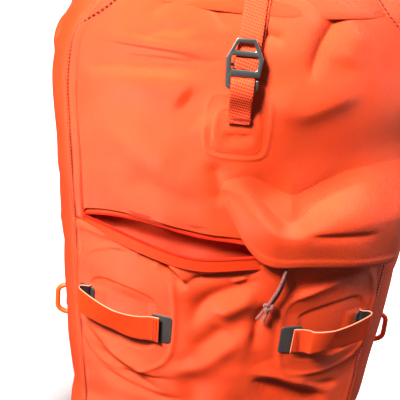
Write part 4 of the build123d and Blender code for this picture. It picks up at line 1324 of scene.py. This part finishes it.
def handle(side, label):
    """A handle: its strap in two halves, dark tabs, stitches and welded patch."""
    radius = float(shape(HANDLE_Z)[4])
    axis = radius - float(shape(HANDLE_Z)[2])
    turn = side * HANDLE_TURN
    middle = np.array([radius * math.sin(turn), axis - radius * math.cos(turn), HANDLE_Z])
    along = np.array([math.cos(turn), math.sin(turn), 0.0])
    outward = np.array([math.sin(turn), -math.cos(turn), 0.0])
    slope = float(shape(HANDLE_Z + 10)[2] - shape(HANDLE_Z - 10)[2]) / 20
    rise = unit(np.array([0, 0, 1.0]) + outward * slope)
    outward = np.cross(along, rise) if np.dot(np.cross(along, rise), outward) > 0 else np.cross(rise, along)
    inner = 1 if side < 0 else -1

    def at(a, out, up=0.0):
        climb = OUTER_CLIMB * clamp((-inner * a + 20) / 60)
        return middle + along * a + outward * out + rise * (up + climb)

    def down(path):
        """Across direction of the strap: its upper edge leans out in the middle."""
        lean = clamp(1 - np.abs((path - middle) @ along) / 44)[:, None]
        return -(rise + outward * STRAP_TILT * lean)

    sewn = STRAP_END[side]
    run = [(-36, -2.2), (-36.5, 0.2), (-39, 1.6), (-43, 3.2), (-44.6, 6.4), (-42, 9.4), (-36, 11.2),
           (-28, 12.6), (-18, 13.8), (-8, 14.2), (4, 13.6), (14, 12.0), (22, 9.6), (sewn - 16, 7.4),
           (sewn - 12, 4.8), (sewn - 8, 3.2), (sewn - 3, 2.4), (sewn, 2.2)]
    run = run if side < 0 else [(-a, o) for a, o in run[::-1]]
    line = even(rounded_line([at(a, o) for a, o in run], 3), 1.2)
    half = len(line) // 2
    skins = [strap_back, strap_edge_highlight, strap_face]
    nodes = ["handle_grip_" + label, "handle_ends_" + label]
    for part, path, node in (("a", line[:half + 1], nodes[0]), ("b", line[half:], nodes[1])):
        kind = [0] * 12 + [1] * 5 + [2] * 12 + [1] * 5
        o = sweep(f"handle_strap_{label}_{part}", path, flat_section(29.0, 1.15, 13), down(path), None,
                  skins, kinds=kind * (len(path) - 1) + [1, 1], replaces=[node], slot="handle_webbing")
        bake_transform(o)
    for name, a, width, cover in (("inner", inner * (TAB_EDGE[side] - 12), 24, 32),
                                  ("outer", -inner * 41, 22, 27)):
        centre = at(a, 0)
        x, z = float(centre[0]), float(centre[2]) - 1
        tab = box_outline(x, z, width * 0.9, cover, 4.5)
        node = ["handle_tabs_" + label] if name == "inner" else ()
        patch(f"handle_tab_{label}_{name}", tab, cushion(1.3, 1.2), lay_front(0.5), "pack", dark_tab,
              base=-0.2, step=1.0, rings=(1, 0.98, 0.95, 0.9, 0.8, 0.6, 0.35), slot="dark_tab",
              replaces=node)
    tacks = []
    for column in (sewn - 5.5, sewn - 2.6):
        for k in range(9):
            low, high = -12.5 + 2.8 * k, -12.5 + 2.8 * k + 2.0
            tacks.append((at(inner * column, 3.9, low), at(inner * (column + 0.5), 3.7, high)))
    threads(f"handle_stitches_{label}", tacks, 0.36, "pack", thread)
    outline = WELD_LEFT if side < 0 else WELD_RIGHT
    patch(f"handle_weld_patch_{label}", rounded_loop(outline, 0.97), cushion(0.35, 2.0),
          lay_front(-0.9, lower_relief), "pack", fabric, base=-1.6, step=3.0,
          replaces=["handle_patch_" + label], slot="reinforcement")


def rounded_loop(outline, share):
    """An outline with soft corners, drawn in to a share of its size."""
    line = loop_line(outline)[:-1]
    middle = line.mean(0)
    return middle + (line - middle) * share


handle(-1, "left")
handle(1, "right")

# ---- Sides: tube loops, their keepers and maroon webbing ----
# Height and distance out of the webbing: it stands away from the side in two places.
SIDE_WEBBING = ((140, 1.2), (160, 1.3), (180, 2.2), (192, 5.0), (204, 6.4), (218, 5.6), (230, 3.4),
                (238, 5.0), (246, 8.6), (256, 9.6), (264, 8.0), (270, 3.4), (278, 1.4), (290, 1.1))


def side_work(side, label):
    """The loop, its patch and sleeve, and the webbing of one side."""
    y, low, high = -12.0, 143.0, 186.0
    root = side * (float(shape(high)[0]) + 0.6)
    reach = root + side * 13.5
    r = 2.75
    ring = corners([(root, low + r), (reach, low + r + 5.5), (reach, high - r - 5.5), (root, high - r)],
                   9.0, 8)
    ring = np.stack([ring[:, 0], np.full(len(ring), y), ring[:, 1]], 1)
    path = even(np.concatenate([ring, ring[:1]]), 1.0)[:-1]
    sweep("side_ring_" + label, path, circle(r, 18), (0, 1, 0), "side_loop_" + label, tube_rubber,
          closed=True, replaces=["side_loop_" + label], slot="tube")
    face = side * float(shape(164)[0])

    def on_side(a, z, out):
        return np.stack([side * (shape(z)[0] + out), y + a, z + 0 * a], -1)

    patch("side_patch_" + label, box_outline(0, 164.5, 30, 58, 6), cushion(1.1, 1.2), on_side, "pack",
          fabric, base=-0.5, step=1.5, replaces=["side_loop_patch_" + label], slot="reinforcement")
    bar = np.linspace((root, y, 158), (root, y, 171), 8)
    sweep("side_sleeve_" + label, bar, circle(r + 1.5, 20), (0, 1, 0), "pack", fabric,
          replaces=["side_loop_keeper_" + label], slot="reinforcement")
    wing = np.linspace((face + side * 1.2, y, 164.5), (root - side * 2.0, y, 164.5), 6)
    sweep("side_wing_" + label, wing, flat_section(13, 5.6, 7), (0, 0, 1), "pack", fabric,
          slot="reinforcement")
    line = [(shape(z)[0] + out, z) for z, out in SIDE_WEBBING]
    strap("side_webbing_" + label, [(side * x, 14.0, z) for x, z in line], (0, 1, 0), 16, 1.5, "pack",
          maroon_web, replaces=["side_strap_" + label], slot="maroon_webbing")


side_work(-1, "left")
side_work(1, "right")

# ---- Top: neck and rolled closure ----
neck_from = skin(around, 588, -0.4)
flat_angle = np.linspace(0, 2 * math.pi, len(around), endpoint=False)
flat_ring = np.stack([-132 * np.sin(flat_angle), 4.2 * fuller(np.cos(flat_angle)),
                      np.full(len(around), 616.0)], 1)
neck_rings = []
for s in np.linspace(0, 1, 14):
    ring = neck_from * (1 - s) + flat_ring * s
    ring[:, 2] = 588 + 28 * s
    pleat = slack(ring[:, 0], ring[:, 1] * 1.6, 46, 1.3, 81) * math.sin(math.pi * s)
    ring[:, 1] += pleat * np.sign(ring[:, 1] + 1e-6) * 0.9
    neck_rings.append(ring)
closed_ring("neck_skin", neck_rings, fabric, ["collar"], "shell_fabric", cap_high=True)

ROLL_Z, ROLL_R, ROLL_FABRIC = 634.0, 20.0, 1.15
turns = np.linspace(-0.5 * math.pi, 4.4 * math.pi, 150)
spiral_r = np.linspace(5.2, ROLL_R - 0.6, 150)
spiral = np.stack([spiral_r * np.sin(turns), spiral_r * np.cos(turns)], 1)
across_x = np.linspace(-138, 138, 72)
spiral_grid = []
for x_at in across_x:
    wobble = 1 + 0.012 * math.sin(x_at * 0.045) + 0.008 * math.sin(x_at * 0.11 + 1)
    turn_y, turn_z = spiral[:, 0] * wobble, ROLL_Z - 0.4 + spiral[:, 1] * wobble
    spiral_grid.append(np.stack([np.full(150, x_at), turn_y, turn_z], 1))
grid = np.array(spiral_grid).transpose(1, 0, 2)
uv = np.stack([grid[..., 0], np.cumsum(np.full(grid.shape[:2], 1.2), axis=0)], -1)
shell("rolled_closure", grid, ROLL_FABRIC, "pack", fabric, uv, replaces=["roll_closure"],
      slot="shell_fabric")


def on_strip(x, z, out):
    """Out from the middle plane of the roll."""
    return np.stack([x, 0.6 - out, z], -1)


patch("roll_stiff_strip", box_outline(0, ROLL_Z, 252, 6, 2), cushion(2.0, 1.0), on_strip, "pack",
      paint["sheet"], step=3, replaces=["roll_stiffener"], slot="frame_plastic")

# ---- Back: pad, yoke, shoulder straps, haul loop, lower webbing ----
PAD_DEPTH = 12.0


def on_back(x, z, out):
    """Out from the flat middle of the back."""
    return np.stack([x, shape(z)[3] + out, z], -1)


def pad_height(x, z, inset):
    """The back pad: domed, with an open channel up its middle and quilted rows across."""
    channel = 1 - 0.86 * bell(x, 15.0, 4)
    rows = np.ones(x.shape)
    for at in (158, 226, 294, 362, 430):
        rows = np.minimum(rows, 1 - 0.3 * bell(z - at, 5.0))
    return np.maximum(PAD_DEPTH * dome(inset / 14) * channel * rows, 0.6)


pad_rings = tuple(np.linspace(1, 0.9, 8)) + tuple(np.linspace(0.88, 0.03, 60))
pad = patch("back_pad_mesh", box_outline(0, 285, 232, 390, 40), pad_height, on_back, "pack", pad_mesh,
            base=0.0, step=3.0, rings=pad_rings, replaces=["back_pad"], slot="back_foam")
for node, finish in (("frame_sheet", paint["sheet"]), ("frame_stay", paint["stay"])):
    inner_part = frame["nodes"][node]
    inner_part.data.materials.clear()
    inner_part.data.materials.append(finish)


def on_pad(x, z, out):
    """Out from the face of the back pad."""
    return on_back(x, z, out + PAD_DEPTH)


patch("yoke_pad", box_outline(0, 466, 186, 26, 6), cushion(3.0, 3.0), on_pad, "pack", pad_cloth,
      base=0.0, step=2.0, replaces=["harness_yoke"], slot="harness_foam")


def harness(side, label):
    """One shoulder strap with its ladder lock, lower webbing and anchor wing."""
    top_y = float(shape(462)[3]) + PAD_DEPTH
    heights = np.linspace(486, 150, 60)
    y = top_y + np.interp(heights, (150, 200, 260, 346, 400, 440, 462, 488),
                          (14, 27, 38, 44, 37, 24, 11, 7))
    x = np.interp(heights, (150, 200, 250, 300, 380, 440, 488), (95, 82, 71, 62, 56, 58, 62))
    smooth = np.ones(9) / 9
    y = np.convolve(np.pad(y, 4, mode="edge"), smooth, mode="valid")
    x = np.convolve(np.pad(x, 4, mode="edge"), smooth, mode="valid")
    path = even(np.stack([side * x, y, heights], 1), 2.5)
    angle = np.linspace(0, 2 * math.pi, 48, endpoint=False)
    section = np.stack([30 * fuller(np.cos(angle)), 5.4 * fuller(np.sin(angle), 0.55)], 1)
    run = np.linspace(0, 1, len(path))
    ends = np.minimum(run, 1 - run)
    size = 0.75 + 0.25 * clamp(ends / 0.08) ** 0.5
    body = "shoulder_" + label
    foam = sweep("shoulder_pad_" + label, path, section, (1, 0, 0), None, pad_mesh, size,
                 replaces=["shoulder_strap_" + label], slot="harness_foam")
    hung = [foam]
    for edge in (-1, 1):
        offset = unit(np.cross(np.gradient(path, axis=0), (0, 1, 0))) * 29.2 * edge
        line = path + offset * size[:, None]
        hung.append(tube(f"shoulder_binding_{label}_{'ab'[edge > 0]}", line[2:-2], 2.1, None, dark_web,
                         step=2.5, rounds=1, sides=10, slot="dark_webbing")[0])
    middle_strap = path + np.cross((1, 0, 0), unit(np.gradient(path, axis=0))) * 6.1
    hung.append(strap("shoulder_webbing_" + label, middle_strap[3:-2:4], (1, 0, 0), 20, 1.4, None,
                      dark_web, step=2.5, rounds=2, slot="dark_webbing"))
    for o in hung:
        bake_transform(o)
    lock_x, lock_y, lock_z = side * 96.0, top_y + 12, 135.0
    outline = box_outline(0, 0, 30, 26, 3)
    holes = [box_outline(0, 6.5, 22, 6, 1), box_outline(0, -4, 22, 7, 1)]

    def place(p):
        return np.stack([lock_x + p[:, 0], lock_y - 2 + p[:, 2], lock_z + p[:, 1]], 1)

    plate("ladder_lock_frame_" + label, outline, holes, 4.0, 1.0, place, body, buckle_plastic,
          replaces=["ladder_lock_" + label], slot="buckle_plastic")
    tab = [path[-6] + (0, 5.0, 0), path[-3] + (0, 4.6, 0), (lock_x, lock_y + 1.6, 149),
           (lock_x, lock_y - 0.4, 143.6), (lock_x, lock_y - 5.4, 143.8), (lock_x, lock_y - 5.6, 149),
           path[-3] - (0, 4.6, 0), path[-6] - (0, 5.0, 0)]
    strap("lock_tab_" + label, tab, (1, 0, 0), 20, 1.3, body, dark_web, step=1.2, rounds=2,
          slot="dark_webbing")
    wing = corners([(side * 138, 34), (side * 138, 74), (side * 82, 74)], 3)
    patch("anchor_patch_" + label, wing, cushion(2.0, 1.5), on_back_round, "pack", pad_cloth, base=-0.4,
          step=2.0, replaces=["anchor_wing_" + label], slot="shell_fabric")
    anchor_y = float(shape(60)[3])
    web = [(lock_x, anchor_y + 4.6, 52), (lock_x, anchor_y + 6.5, 62), (lock_x, anchor_y + 12, 74),
           (lock_x, lock_y - 8, 100), (lock_x, lock_y - 3, 116)]
    strap("lower_strap_" + label, web, (1, 0, 0), 20, 1.4, "pack", dark_web,
          replaces=["lower_webbing_" + label], slot="dark_webbing")


def on_back_round(x, z, out):
    """On the back and round its corner."""
    half, _, _, back_y, _ = shape(z)
    past = np.clip(np.abs(x) - (half - BACK_CORNER), 0, None)
    fall = np.where(past > 0, BACK_CORNER - np.sqrt(np.clip(BACK_CORNER**2 - past**2, 0, None)), 0)
    return np.stack([x, back_y - fall + out, z], -1)


harness(-1, "left")
harness(1, "right")

HAUL_Z = 495.0
haul_y = float(shape(HAUL_Z - 10)[3]) + 2
haul_run = [(-60, 1.0), (-52, 1.1), (-46, 3.0), (-39.3, 7.0), (-28, 15.0), (-14, 22.5), (0, 26),
            (14, 22.5), (28, 15.0), (39.3, 7.0), (46, 3.0), (52, 1.1), (60, 1.0)]
line = even(rounded_line([(x, haul_y + y, HAUL_Z) for x, y in haul_run], 3), 1.5)
half = len(line) // 2
for part, path, node, end in (("a", line[:half + 1], "haul_loop", -1), ("b", line[half:], "haul_ends", 1)):
    o = sweep("haul_strap_" + part, path, flat_section(20, 2.2), (0, 0, 1), None, dark_web,
              replaces=[node], slot="dark_webbing")
    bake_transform(o)

# ---- Camera, light and floor ----
EYE_TARGET = Vector((-34, -130, 355)) * MM
EYE_DISTANCE, EYE_RISE, EYE_ROLL, EYE_LENS = 0.950, math.radians(26), math.radians(5.2), 94.0
back = Vector((0, -math.cos(EYE_RISE), math.sin(EYE_RISE)))
right, up = Vector((1, 0, 0)), Vector((0, math.sin(EYE_RISE), math.cos(EYE_RISE)))
turned_right = right * math.cos(EYE_ROLL) + up * math.sin(EYE_ROLL)
turned_up = up * math.cos(EYE_ROLL) - right * math.sin(EYE_ROLL)
camera = bpy.data.objects.new("camera", bpy.data.cameras.new("camera"))
camera.data.lens, camera.data.sensor_width, camera.data.clip_start = EYE_LENS, 36.0, 0.02
camera.matrix_world = Matrix((turned_right, turned_up, back)).transposed().to_4x4()
camera.location = EYE_TARGET + back * EYE_DISTANCE
bpy.context.scene.collection.objects.link(camera)
bpy.context.scene.camera = camera


def area_light(name, place, aim, size, watts, receivers, tint=(1, 1, 1)):
    """A square softbox that lights one collection."""
    lamp = bpy.data.lights.new(name, "AREA")
    lamp.shape, lamp.size, lamp.energy, lamp.color = "SQUARE", size, watts, tint
    o = bpy.data.objects.new(name, lamp)
    o.location = place
    o.rotation_euler = (Vector(aim) - Vector(place)).to_track_quat("-Z", "Y").to_euler()
    o.light_linking.receiver_collection = receivers
    bpy.context.scene.collection.objects.link(o)


lit, ground = bpy.data.collections.new("lit_pieces"), bpy.data.collections.new("lit_floor")
for o in bpy.context.scene.objects:
    if o.type == "MESH":
        lit.objects.link(o)
area_light("key_softbox", (-0.95, -1.15, 1.85), (0, -0.05, 0.35), 0.5, 178, lit, (1.0, 0.96, 0.9))
area_light("side_softbox", (1.7, 0.5, 1.3), (0, 0, 0.3), 1.2, 32, lit)
area_light("rear_softbox", (0.6, 1.9, 1.6), (0, 0, 0.3), 1.6, 30, lit)
area_light("floor_softbox", (0.4, 0.3, 3.2), (0, 0, 0), 2.6, 300, ground)
world = bpy.data.worlds.new("studio")
world.use_nodes = True
world.node_tree.nodes["Background"].inputs[0].default_value = (1, 1, 1, 1)
world.node_tree.nodes["Background"].inputs[1].default_value = 0.12
bpy.context.scene.world = world
bpy.context.scene.view_settings.view_transform = "Standard"

floor_finish = Finish("pale_floor", 0.9)
floor_finish.color(floor_finish.ramp(floor_finish.noise(3), 0.2, 0.8, (0.86, 0.86, 0.86, 1),
                                     (0.9, 0.9, 0.9, 1)))
floor_mesh = bpy.data.meshes.new("floor")
FLOOR = 14.0
floor_mesh.from_pydata([(-FLOOR, -FLOOR, 0), (FLOOR, -FLOOR, 0), (FLOOR, FLOOR, 0), (-FLOOR, FLOOR, 0)],
                       [], [(0, 1, 2, 3)])
floor_mesh.materials.append(floor_finish.material)
floor = bpy.data.objects.new("floor", floor_mesh)
floor.location.z = -0.0005
bpy.context.scene.collection.objects.link(floor)
ground.objects.link(floor)
floor.visible_diffuse = False
floor.visible_glossy = False
